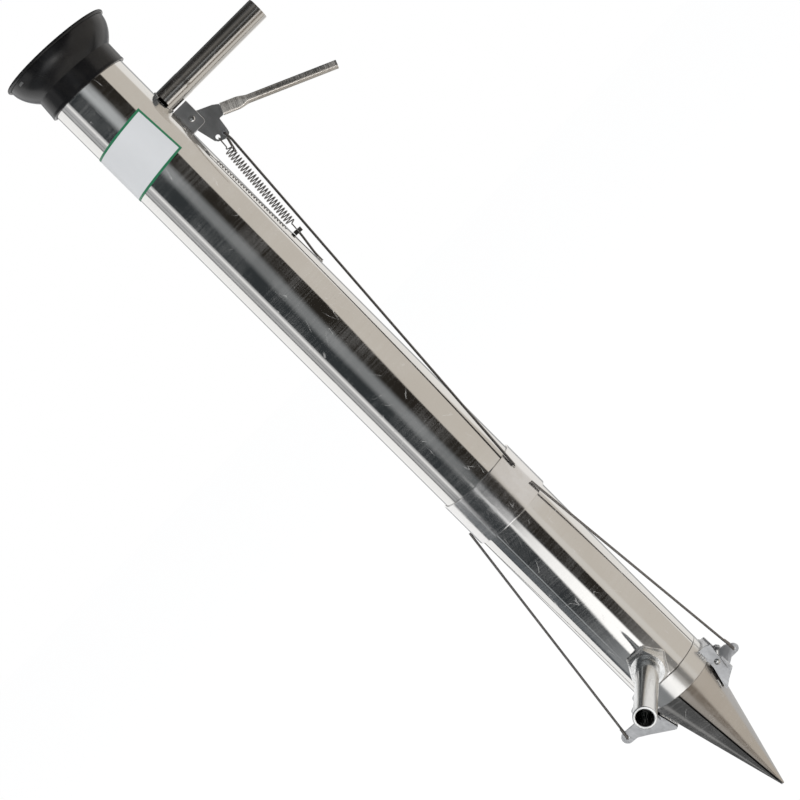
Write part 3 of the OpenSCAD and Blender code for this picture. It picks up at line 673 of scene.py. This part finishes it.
def makeHandle(h):
    # rings round the handle's axis; the first are pushed out to the tube's surface or the slot's floor
    count = 160
    angle = np.linspace(0, 2 * np.pi, count, endpoint=False)
    inner = h["radius"] - h["wall"]

    def ring(radius, share):
        y, z = radius * np.sin(angle), radius * np.cos(angle)
        seat = np.sqrt((tube["outer"] + h["seatGap"]) ** 2 - y**2)
        inHeight = 1 + np.exp((np.abs(z) - h["slotHeight"] / 2) * h["slotFade"])
        slotted = 1 / inHeight / (1 + np.exp(np.clip(y * h["slotFade"], -50, 50)))
        start = seat + (h["slotEnd"] - seat) * slotted
        x = start + (h["end"] - start) * share
        return np.stack([x, y, h["z"] + z], -1)

    share = np.concatenate([[0, 0.004, 0.012, 0.03], np.linspace(0.05, 0.9985, 60)])
    swell = h["swell"] / (1 + np.exp((share - h["swellShare"]) * h["swellFade"]))
    outer = [ring(h["radius"] + w, s) for w, s in zip(swell, share)]
    lip = [ring(h["radius"] - h["lipEdge"], 1.0), ring(inner + h["lipEdge"], 1.0)]
    back = [ring(inner, s) for s in share[::-1]]
    verts = np.stack(outer + lip + back) * mm
    faces = [f[::-1] for f in gridFaces(len(verts), count, closeRows=True)]
    piece = addObject("handlePipe", verts, faces, "planter", ["handle_tube"],
                      material="handle")
    paintFaces(piece, "bore", np.arange(len(faces)) // count > len(outer))


makeHandle(handle)
pegShape = roundCorners([
    (peg["inner"], peg["root"]), (peg["screwed"], peg["root"]), (peg["screwed"], peg["shoulder"]),
    (peg["radius"], peg["shoulder"] + peg["slant"]), (peg["radius"], peg["end"]),
    (peg["inner"], peg["end"])
], peg["edge"], 5)
turnedPiece("pegPipe", pegShape, "planter", "zinc", ["foot_peg"], "zinc", count=128,
            origin=(0, 0, peg["z"]), axis=polar(1, sides["right"], 0), side=(0, 0, 1))
print("handle and foot peg made")

# lever grip

grip = {"root": (70.1, 0, 800.1), "drop": 23.4, "length": 110.3, "diameter": 8.2, "wall": 1,
        "flatHeight": 11.6, "flatThick": 5.4, "flatLength": 15, "neck": 26, "flatPower": 3.2}


def makeGrip(g):
    # a flat tube end that turns round: each ring is a superellipse whose halves and power change
    m, bend = 64, g["neck"]
    s = np.concatenate([np.linspace(0.3, bend + 6, 54), np.linspace(bend + 8, g["length"], 36)])
    t = smooth(np.clip((s - g["flatLength"]) / (bend - g["flatLength"]), 0, 1))
    tall = (g["flatHeight"] + (g["diameter"] - g["flatHeight"]) * t) / 2
    thick = (g["flatThick"] + (g["diameter"] - g["flatThick"]) * t) / 2
    power = 2.0 / (g["flatPower"] + (2.0 - g["flatPower"]) * t)
    a = np.linspace(0, 2 * np.pi, m, endpoint=False)
    drop = radians(g["drop"])
    along = np.array([cos(drop), 0, -sin(drop)])
    square = np.array([sin(drop), 0, cos(drop)])

    def rings(lessening, order):
        c, k = np.cos(a)[None], np.sin(a)[None]
        h = np.sign(c) * np.abs(c) ** power[order, None] * (tall[order, None] - lessening)
        w = np.sign(k) * np.abs(k) ** power[order, None] * (thick[order, None] - lessening)
        return (np.array(g["root"]) + s[order, None, None] * along + h[..., None] * square
                + w[..., None] * np.array([0, 1.0, 0]))

    order = np.arange(len(s))
    verts = np.concatenate([rings(0.0, order), rings(g["wall"], order[::-1])]) * mm
    faces = [f[::-1] for f in gridFaces(2 * len(s), m, closeRows=True)]
    addObject("gripTube", verts, faces, "lever", ["lever_grip"], 50, "grip")


makeGrip(grip)
print("grip made")

# rods, links and their hooks

rods = {"radius": 1.2, "ride": 41.5, "rodAzimuth": 49, "rodFoot": 394, "linkTop": 372.5,
        "lugFace": 12.75, "lugThick": 2, "play": 0.3}
rodHole = np.array([57.5, 0, 783.5])
washer = {"outer": 2.5, "inner": 1.22, "low": -0.17, "high": 0.17, "edge": 0.07, "y": -1.73}
anchor = {"radius": 1.1, "out": 39.15, "drop": 34, "rise": 9, "under": 4.6, "over": 2.1, "bend": 6}
anchorAt = np.array([42.4, 0, 676.5])
springHole = np.array([50.7, 0, 785.0])


def hookRoute(points, bend, spacing):
    return resample(roundCorners(points, bend, 8, closed=False), spacing)


rodRoute = hookRoute([
    polar(rods["ride"], rods["rodAzimuth"], rods["rodFoot"]), rodHole + [0.6, -3.0, -8],
    rodHole + [0, -3.0, 0], rodHole + [0, 3.0, 0], rodHole + [-4.6, 5.4, -18.5]], 1.5, 1.5)
sweptPiece("pullRodWire", rodRoute, rods["radius"], "pull_rod", "wire", (1, 0, 0), ["pull_rod"])
turnedPiece("rodWasher", pipeProfile(washer), "pull_rod", "bracket", slot="zinc", count=48,
            origin=rodHole + [0, washer["y"], 0], axis=(0, 1, 0), side=(1, 0, 0))


def makeLink(key, azimuth, r, z, body):
    # from the sleeve down along the tube, through the jaw's lug and up again outside it
    turn = sides[key]
    inside = rods["lugFace"] - rods["lugThick"] - rods["play"] - rods["radius"]
    outside = rods["lugFace"] + rods["play"] + rods["radius"]
    route = hookRoute([
        polar(rods["ride"], azimuth, rods["linkTop"]), onSide(turn, r - 0.2, inside, z + 7),
        onSide(turn, r, inside, z), onSide(turn, r, outside, z), onSide(turn, r - 1.6, outside, z + 11)
    ], 1.4, 1.5)
    sweptPiece("linkWire" + key.title(), route, rods["radius"], body, "wire", sideFrame(turn)[0],
               ["link_" + key])


makeLink("right", 49.5, 54.5, 126.0, "link_right")
makeLink("left", -100.0, 71.5, 132.0, "sleeve")
springAxis = unit(springHole - anchorAt)
springOut = np.array([springAxis[2], 0, -springAxis[0]])
foot = np.array([anchor["out"], 0, anchorAt[2] - anchor["drop"]])
anchorRoute = hookRoute([foot, foot + [0, 0, anchor["rise"]], anchorAt - springAxis * anchor["under"],
                         anchorAt + springAxis * anchor["over"]], anchor["bend"], 1.0)
sweptPiece("anchorRodWire", anchorRoute, anchor["radius"], "planter", "wire", (0, 1, 0),
           ["spring_anchor_rod"])
print("rods made")

# return spring

spring = {
    "wire": 0.6, "radius": 4, "turns": 26, "start": 10.5, "end": 94.5, "legStart": 2.25,
    "hookStart": 99.5, "hookTop": 107.52, "hookSide": 2.4, "freeLeg": 8, "hookBend": 1.1,
    "firstAngle": 30, "perTurn": 28, "lead": 0.55, "leadRise": 5.6, "leadLength": 3.4,
    "growTurns": 0.6, "blendFrom": 9, "blendTo": 98,
}


def coilRoute(c):
    # height rises evenly with the angle on the coil;
    # the radius grows from nothing at the first turn and falls back to it at the last
    low = np.linspace(c["legStart"], c["start"] - c["leadLength"], 14)
    high = np.linspace(c["end"] + c["leadLength"], c["hookStart"], 10)
    count = int((c["turns"] + 2 * c["lead"]) * c["perTurn"])
    turn = np.linspace(-c["lead"], c["turns"] + c["lead"], count)
    fromEnd = np.minimum(turn + c["lead"], c["turns"] + c["lead"] - turn)
    grow = smooth(np.clip(fromEnd / c["growTurns"], 0, 1))
    angle = 2 * np.pi * turn + radians(c["firstAngle"])
    rise = np.clip(turn, 0, c["turns"]) * (c["end"] - c["start"]) / c["turns"] + c["start"]
    rise = rise + np.minimum(turn, 0) * c["leadRise"] + np.maximum(turn - c["turns"], 0) * c["leadRise"]
    radius = np.pad(c["radius"] * grow, (len(low), len(high)))
    angle = np.pad(angle, (len(low), len(high)), "edge")
    arm = np.stack([np.cos(angle), np.sin(angle), 0 * angle], 1)
    return radius[:, None] * arm + np.concatenate([low, rise, high])[:, None] * up, arm


def onSpringAxis(points):
    return points @ np.stack([springOut, np.array([0, 1.0, 0]), springAxis])


def hookPoints(c):
    # up beside the hole, through it and down again on the other side
    foot, top, out = c["hookStart"], c["hookTop"], c["hookSide"]
    return [(0, 0, foot), (0, 0, foot + 1.5), (0, out, foot + 4.5), (0, out, top), (0, -out, top),
            (0, -out, top - c["freeLeg"])]


coilPath, coilSide = coilRoute(spring)
coil = sweptPiece("springCoil", anchorAt + onSpringAxis(coilPath), spring["wire"], None, "springWire",
                  onSpringAxis(coilSide), ["return_spring"], around=10)
hookPath = anchorAt + onSpringAxis(hookRoute(np.array(hookPoints(spring)), spring["hookBend"], 0.5))
sweptPiece("springEyeHook", hookPath, spring["wire"], "spring_end", "springWire", springOut,
           ["spring_hook"], around=12)
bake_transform(coil)
print("spring made")

# jaws

jaw = {"length": 139.5, "top": 37, "tip": 1.5, "wall": 1.55, "solid": 6, "split": 0.9,
       "leastBore": 0.52, "edge": 0.22}


def coneRadius(z):
    # the jaws' outer radius grows evenly from the tip
    return jaw["tip"] + (jaw["top"] - jaw["tip"]) * z / jaw["length"]


def makeJaw(key, j):
    # half a hollow cone: each row holds an outer arc and the inner arc back,
    # both ending half the split from the middle
    rows, arc = 90, 97
    t = np.linspace(0, 1, rows)[:, None]
    zOuter = j["length"] * t
    zInner = j["solid"] + (j["length"] - j["solid"]) * t
    rInner = np.maximum(coneRadius(zInner) - j["wall"], j["leastBore"])
    share = np.linspace(-1, 1, arc)[None]

    def arcPoints(r, z, order):
        limit = np.arccos(np.clip(j["split"] / 2 / r, 0, 0.98))
        a = (limit * share)[:, ::order]
        return np.stack([r * np.cos(a), r * np.sin(a), z * np.ones_like(a)], -1)

    loop = np.concatenate([arcPoints(coneRadius(zOuter), zOuter, 1), arcPoints(rInner, zInner, -1)], 1)
    out, across = sideFrame(sides[key])
    verts = (loop[..., :1] * out + loop[..., 1:2] * across + loop[..., 2:] * up) * mm
    count = 2 * arc
    faces = gridFaces(rows, count)
    top = (rows - 1) * count
    faces += [[top + k, top + k + 1, top + count - 2 - k, top + count - 1 - k] for k in range(arc - 1)]
    faces += [list(range(arc))[::-1], list(range(arc, count))[::-1], [0, arc - 1, arc, count - 1]]
    body, side = "jaw_" + key, key.title()
    piece = addObject("jawShell" + side, verts, faces, body, [body], sharp=30, material="jaw" + side)
    # painted shade on the jaw's faces that look up into the seam
    shadeSeam(piece, 1)
    bevel(piece, j["edge"], 45)


for key in sides:
    makeJaw(key, jaw)
print("jaws made")

# rivets

rivet = {"radius": 2, "domeRadius": 3, "domeHeight": 1.25, "step": 0.15, "around": 40}
hinges = {"z": 134.5, "half": 15.05, "out": {"right": 42, "left": 52}}


def makeRivet(name, middle, axis, half, replaced):
    # a straight shank and at each end a low dome whose height follows a circle's arc
    a = np.radians(np.linspace(0, 88, 14))
    height = half + rivet["domeHeight"] * (rivet["step"] + (1 - rivet["step"]) * np.sin(a))
    dome = np.stack([rivet["domeRadius"] * np.cos(a), height], 1)
    head = np.concatenate([[(rivet["radius"], half), (rivet["domeRadius"], half)], dome])
    profile = np.concatenate([head[::-1] * [1, -1], head])
    verts = turned(profile * mm, rivet["around"], np.asarray(middle) * mm, axis, (0, 0, 1))[0]
    faces = gridFaces(len(profile), rivet["around"]) + endFaces(len(profile), rivet["around"])
    addObject(name, verts, faces, "planter", [replaced], material="zinc")


makeRivet("rivetLever", (45.7, 0, 812.2), (0, 1, 0), 3.95, "lever_rivet")
for key, turn in sides.items():
    middle = onSide(turn, hinges["out"][key], 0, hinges["z"])
    makeRivet("rivet" + key.title(), middle, sideFrame(turn)[1], hinges["half"], "hinge_pin_" + key)
print("rivets made")

# weld beads

beads = {
    # radius of the surface under each bead, how far out it runs and how high it lies;
    # the rod's foot has pairs of azimuth and height, the anchor of Y and height
    "earSeat": 38.3, "earOut": 15.7, "earHeights": (141.5, 145, 149, 152.4),
    "webOut": 13.5, "webTop": {"right": 121, "left": 130}, "webRest": (118, 111.5), "webLift": 0.35,
    "handleSeat": 38.4, "handleLift": 0.2, "handleRing": 11, "handleArc": (-9.6, 8.6, 15),
    "rodSeat": 40.5, "rodHeight": 394.5,
    "rodFoot": ((47.2, 1.5), (47.3, -1), (48.2, -2.4), (49.6, -2.6), (50.8, -1), (50.9, 1.6)),
    "anchorOut": 38.35, "anchorHeight": 643,
    "anchor": ((-1.3, 6), (-1.4, 2), (-0.8, -1), (0.8, -1), (1.4, 2), (1.3, 6)),
    "nutSeat": 38.2, "nutHalf": 16.4,
}


def makeBead(name, route, width, seed, body="planter"):
    # a lumpy ridge along a route: the ring's radius swells and shrinks with a few sine waves
    p = resample(route, 0.5)
    s = np.linspace(0, 1, len(p))
    lumps = 1 + 0.18 * np.sin(s * 37 + seed) + 0.12 * np.sin(s * 71 + 2 * seed)
    ends = np.clip(np.minimum(s, 1 - s) * len(p) * 0.5 / max(width, 0.5), 0.05, 1) ** 0.5
    verts, faces = swept(p * mm, width * lumps * ends * mm, 12, up + np.array([0.31, 0.17, 0]))
    addObject(name, verts, faces, body, material="bead")


def onCylinder(turn, r, h, z):
    # a point of the cylinder round the tube's axis, at the distance h beside the turned direction
    return onSide(turn, sqrt(r**2 - h * h), h, z)


def handleArc(sign):
    # half a ring round the handle's root, above it for sign 1 and below it for -1
    y = np.linspace(*beads["handleArc"])
    x = np.sqrt(beads["handleSeat"] ** 2 - y * y) + beads["handleLift"]
    return np.stack([x, y, handle["z"] + sign * np.sqrt(beads["handleRing"] ** 2 - y * y)], 1)


def nutRing():
    # a hexagon's outline, its reach 1 / cos of the angle from the nearest flat, laid on the tube
    turn = np.linspace(0, 2 * np.pi, 73)
    reach = beads["nutHalf"] / np.cos((turn + np.pi / 6) % (np.pi / 3) - np.pi / 6)
    h, z = reach * np.sin(turn), peg["z"] + reach * np.cos(turn)
    return [onCylinder(sides["right"] - 90, beads["nutSeat"], *place) for place in zip(h, z)]


for key, turn in sides.items():
    for mark, sign in (("Near", -1), ("Far", 1)):
        out = sign * beads["earOut"]
        ear = [onCylinder(turn, beads["earSeat"], out, z) for z in beads["earHeights"]]
        makeBead("beadEar" + mark + key.title(), ear, 1.35, 1.0 + sign)
        web = [onCylinder(turn, coneRadius(z) + beads["webLift"], sign * beads["webOut"], z)
               for z in (beads["webTop"][key],) + beads["webRest"]]
        makeBead("beadWeb" + mark + key.title(), web, 1.0, 2.5 + sign, "jaw_" + key)
makeBead("beadHandleTop", handleArc(1), 0.7, 2.0)
makeBead("beadHandleLow", handleArc(-1), 0.6, 3.0)
rodFoot = [polar(beads["rodSeat"], a, beads["rodHeight"] + z) for a, z in beads["rodFoot"]]
makeBead("beadRodFoot", rodFoot, 0.55, 4.0, "sleeve")
anchorFoot = [(beads["anchorOut"], y, beads["anchorHeight"] + z) for y, z in beads["anchor"]]
makeBead("beadAnchor", anchorFoot, 0.5, 5.0)
makeBead("beadNut", nutRing(), 1.0, 6.0)
print("weld beads made")

# finishes on the solids that stay

finishes = {
    "lever_plate": "plate", "lever_bracket": "plate", "hinge_bracket_right": "bracket",
    "hinge_bracket_left": "bracket", "jaw_bracket_right": "bracket", "jaw_bracket_left": "bracket",
    "peg_nut": "zincNut", "spring_anchor_nut": "blackNut",
}
edgeWidths = {"peg_nut": 0.6, "spring_anchor_nut": 0.2, "lever_plate": 0.5, "lever_bracket": 0.65}
easing = {"width": 0.45, "join": 0.000004, "flat": 1.5, "sharp": 32}


def dress(name, finish, width):
    # a copy of the plain solid, its loose triangles joined, its edges eased so that they catch the light;
    # the bevels take the pale rim finish, a painted highlight along the edges
    shape = bmesh.new()
    shape.from_mesh(nodes[name].data)
    bmesh.ops.remove_doubles(shape, verts=shape.verts, dist=easing["join"])
    flat = radians(easing["flat"])
    bmesh.ops.dissolve_limit(shape, angle_limit=flat, verts=shape.verts, edges=shape.edges)
    mesh = bpy.data.meshes.new(name + "_eased")
    shape.to_mesh(mesh)
    shape.free()
    piece = smoothObject(name + "_eased", mesh, easing["sharp"])
    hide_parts(name)
    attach(piece, nodes[name]["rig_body"])
    mesh.materials.clear()
    mesh.materials.append(materials[finish])
    # the bevels' faces take the pale rim finish, a painted highlight along the edges
    mesh.materials.append(materials["rim"])
    bevel(piece, width, easing["sharp"]).modifiers["edges"].material = 1


for name, finish in finishes.items():
    dress(name, finish, edgeWidths.get(name, easing["width"]))
print("finishes set")

# stage

allRound = (-186, 186)
white, pale, cool = (1, 1, 1), (0.97, 0.98, 1), (0.95, 0.97, 1)
warm, cream, sand = (1, 0.97, 0.93), (1, 0.96, 0.9), (1, 0.93, 0.84)
studio = {
    # outlines of the three round screens, radius and height in metres, seen in reflections only
    "wallShape": [(3, -2.4), (3, 1.75), (2.6, 2.6), (1.6, 3.2), (0.02, 3.4)],
    "skirtShape": [(1.6, -2.35), (1.6, -0.52)],
    "underShape": [(0.02, -2.42), (3, -2.42)],
    # left and right edge in degrees, softness; low and high edge, softness, unless it is the whole height;
    # colour; strength. Edges and strength can also be pairs of a height and the value there
    "wall": [
        ((-180, -105), 2, white, 1.05),
        ((-105, -66), 2, pale, 0.48),
        ((-105, -100.5), 1.5, cool, 0.2),
        ((-92, -89.5), 1, cool, 0.28),
        ((-79, -73), 7, white, 0.98),
        ((-68, 10), 3, (0.85, 0.97, 1.05), 0.042),
        ((-110, -86), 2, (-3, -0.08), 0.03, (0.85, 0.95, 1.05), 0.12),
        ((-110, -106), 1.5, (-3, -0.08), 0.03, (0.85, 0.95, 1.05), 0.06),
        ((-86, -40), 3, (-3, -0.08), 0.03, (0.88, 0.97, 1.05), 0.045),
        ((-81.5, -78.5), 1.5, (-3, -0.08), 0.03, (0.9, 0.96, 1), 0.42),
        ((-100, -38), 5, (-3, -0.58), 0.16, (0.94, 0.98, 1.02), 0.3),
        (([(0.43, -2), (0.91, -8), (1.2, -10)], 54), 12, (1, 0.88, 0.74), 0.024),
        ((-12, 30), 6, (-3, -0.62), 0.16, warm, 0.24),
        (([(0, -33), (0.43, -31), (0.67, -25), (0.91, -20), (1.15, -21)],
          [(0, -4), (0.43, -1), (0.67, 6), (1.15, 9)]), 20, (-0.07, 9), 0.04, (0.95, 0.99, 1.02),
         [(0, 0.2), (0.19, 0.25), (0.43, 0.25), (0.67, 0.2), (0.91, 0.24), (1.15, 0.5)]),
        (([(-0.6, -47), (-0.45, -37), (-0.2, -30), (-0.05, -28)],
          [(-0.5, -3), (-0.2, -7), (-0.05, -20)]), 6, (-3, -0.205), 0.02, white,
         [(-0.45, 1.3), (-0.24, 1), (-0.2, 0.6)]),
        ((-29, -23), 4, (-0.3, -0.09), 0.05, white, 0.95),
        (([(-0.5, 27), (-0.26, 29), (0, 33), (0.19, 36), (0.43, 44), (0.67, 45), (0.91, 47),
           (1.15, 50)], 185), 2.5, sand, 0.62),
        ((38, 130), 12, (-0.2, -0.08), 0.03, (1, 0.98, 0.96), 0.76),
        ((31, 46), 8, (-3, -0.2), 0.1, cream, 0.7),
        ((110, 185), 8, (1, 0.98, 0.95), 0.92),
        ((148, 164), 5, cool, 0.42),
        ((-166, -152), 5, cool, 0.42),
        ((-24, -9), 6, (-1.45, -1.08), 0.15, (1, 0.96, 0.94), 5),
        (allRound, 1, (1.66, 9), 0.1, (0.9, 0.95, 1), 0.1),
        # what the handle and the grip see over and under them
        (allRound, 1, (4.4, 9), 0.3, warm, 0.03),
        ((-6, 14), 4, (1.26, 9), 0.06, (1, 0.95, 0.88),
         [(1.3, 0.03), (1.84, 0.05), (2.35, 0.075), (2.89, 0.14), (3.44, 0.16), (3.97, 0.08),
          (4.5, 0.03)]),
        ((-3, 10), 4, (-3, -0.72), 0.08, warm, [(-1.2, 0.9), (-0.75, 0.6)]),
    ],
    "skirt": [
        (allRound, 1, pale, 0.6),
        ((-165, -36), 5, (0.96, 0.98, 1), 0.1),
        ((-112, -96), 5, white, 0.3),
        ((-38, -10), 5, (1, 0.95, 0.9), 0.4),
        ((-10, 21), 7, (1, 0.82, 0.66), 0.16),
        ((21, 100), 6, sand, 0.58),
        ((-3, 10), 4, (-0.98, 9), 0.06, warm, 0.9),
        ((-3, 10), 4, (-9, -1.76), 0.06, cream, 0.65),
    ],
    "under": [(allRound, 1, cream, 0.66)],
}


def ease(value, low, high, soft):
    # one between low and high, falling to nothing over the softness on either side
    rise, fall = (value - low) / soft + 0.5, (high - value) / soft + 0.5
    return smooth(np.clip(rise, 0, 1) * np.clip(fall, 0, 1))


def makeScreen(name):
    # an outline carried round the planter; each panel's colour is laid over those before it
    outline = studio[name + "Shape"]
    shape = resample(np.c_[outline, np.zeros(len(outline))], 0.05)[:, :2]
    azimuth = np.linspace(-180, 180, 721)
    a = np.radians(azimuth)[None]
    r, z = shape[:, :1], shape[:, 1:]
    verts = np.stack([r * np.sin(a), -r * np.cos(a), z * np.ones_like(a)], -1)
    along = runLength(shape)[:, None] + shape[0, 1]  # height, carried on round the top
    glow = np.zeros(verts.shape)

    def at(given):
        return given if isinstance(given, (int, float)) else np.interp(along, *np.array(given).T)

    for (left, right), soft, *band, colour, strength in studio[name]:
        (low, high), fade = band or ((-9, 9), 1)
        mask = ease(azimuth[None], at(left), at(right), soft) * ease(along, low, high, fade)
        glow += (np.array(colour) * np.asarray(at(strength))[..., None] - glow) * mask[..., None]
    mesh = bpy.data.meshes.new(name)
    mesh.from_pydata(verts.reshape(-1, 3).tolist(), [], gridFaces(*verts.shape[:2], closeColumns=False))
    paint = mesh.color_attributes.new("glow", "FLOAT_COLOR", "POINT")
    paint.data.foreach_set("color", np.concatenate([glow, np.ones(glow.shape[:2] + (1,))], -1).ravel())
    screen = linkNew(name, mesh)
    mat, tree, _ = startMaterial(name)
    tree.nodes.clear()
    source, shine = newNode(tree, "Attribute"), newNode(tree, "Emission")
    source.attribute_name = "glow"
    tree.links.new(source.outputs["Color"], shine.inputs["Color"])
    tree.links.new(shine.outputs[0], newNode(tree, "OutputMaterial").inputs[0])
    mat.cycles.emission_sampling = "NONE"  # mirror-like steel finds the screens itself, with less noise
    mesh.materials.append(mat)
    for way in ("camera", "diffuse", "transmission", "volume_scatter", "shadow"):
        setattr(screen, "visible_" + way, False)


for name in ("wall", "skirt", "under"):
    makeScreen(name)


def mixByRay(tree, rays, share, first, second):
    # the named rays see the second shader, or a share of it, and all others the first
    path, mix = newNode(tree, "LightPath"), newNode(tree, "MixShader")
    seen = 0.0
    for ray in rays:
        seen = mathNode(tree, "ADD", path.outputs["Is " + ray + " Ray"], seen, clamp=True)
    tree.links.new(mathNode(tree, "MULTIPLY", seen, share), mix.inputs[0])
    tree.links.new(first.outputs[0], mix.inputs[1])
    tree.links.new(second.outputs[0], mix.inputs[2])
    return mix.outputs[0]


ground = {"height": -0.002, "half": 9, "tone": (0.93, 0.93, 0.93, 1), "rough": 0.9, "glow": 1.1,
          "share": 0.8}
sky = {
    # tone and strength for plain surfaces, and as the camera and reflections see it
    "soft": {"Color": (0.97, 0.98, 1.0, 1), "Strength": 0.62},
    "seen": {"Color": (1, 1, 1, 1), "Strength": 1.0},
}
lamps = {
    # place, what it aims at, size in metres, power in watts
    "keyLamp": ((-2.2, -2.4, 2.2), (0, 0, 0.5), (1.8, 1.8), 55),
    "fillLamp": ((2.6, -1.6, 1), (0, 0, 0.5), (1.6, 2.2), 30),
}
view = {"place": (0, -1.79108, 0.693), "right": (0.70711, -0.07391, -0.70323),
        "up": (0.70711, 0.07391, 0.70323), "ahead": (0, 0.99452, -0.10453), "lens": 90, "sensor": 36}


def makeFloor(f):
    # a pale floor that glows for the camera, so that it fades into the white behind it
    h = f["half"]
    mesh = bpy.data.meshes.new("floor")
    mesh.from_pydata([(-h, -h, 0), (h, -h, 0), (h, h, 0), (-h, h, 0)], [], [[0, 1, 2, 3]])
    mesh.transform(Matrix.Translation((0, 0, f["height"])))
    floor = linkNew("floor", mesh)
    floor.visible_glossy = False
    mat, tree, shader = startMaterial("paleFloor")
    feed(tree, shader, {"Base Color": f["tone"], "Roughness": f["rough"], "Specular IOR Level": 0.0})
    glow = newNode(tree, "Emission", {"Strength": f["glow"]})
    surface = mixByRay(tree, ("Camera", "Transmission"), f["share"], shader, glow)
    tree.links.new(surface, tree.nodes["Material Output"].inputs[0])
    mesh.materials.append(mat)


def makeWorld(s):
    # a soft pale light all round, which the camera and reflections see as white
    world = bpy.data.worlds.new("studio")
    scene.world = world
    world.use_nodes = True
    tree = world.node_tree
    tree.nodes.clear()
    soft, seen = (newNode(tree, "Background", s[key]) for key in ("soft", "seen"))
    surface = mixByRay(tree, ("Camera", "Glossy", "Transmission"), 1.0, soft, seen)
    tree.links.new(surface, newNode(tree, "OutputWorld").inputs[0])


def makeLamp(name, place, aim, size, power):
    data = bpy.data.lights.new(name, "AREA")
    data.shape = "RECTANGLE"
    data.size, data.size_y = size
    data.energy = power
    lamp = linkNew(name, data)
    lamp.location = place
    lamp.rotation_euler = (Vector(aim) - Vector(place)).to_track_quat("-Z", "Y").to_euler()
    lamp.visible_glossy = False


def makeCamera(v):
    data = bpy.data.cameras.new("camera")
    data.lens, data.sensor_width = v["lens"], v["sensor"]
    camera = linkNew("camera", data)
    turn = Matrix((Vector(v["right"]), Vector(v["up"]), -Vector(v["ahead"]))).transposed()
    camera.matrix_world = Matrix.Translation(Vector(v["place"])) @ turn.to_4x4()
    scene.camera = camera


makeFloor(ground)
makeWorld(sky)
for name, row in lamps.items():
    makeLamp(name, *row)
makeCamera(view)
scene.view_settings.view_transform = "Standard"
print("stage and camera set")
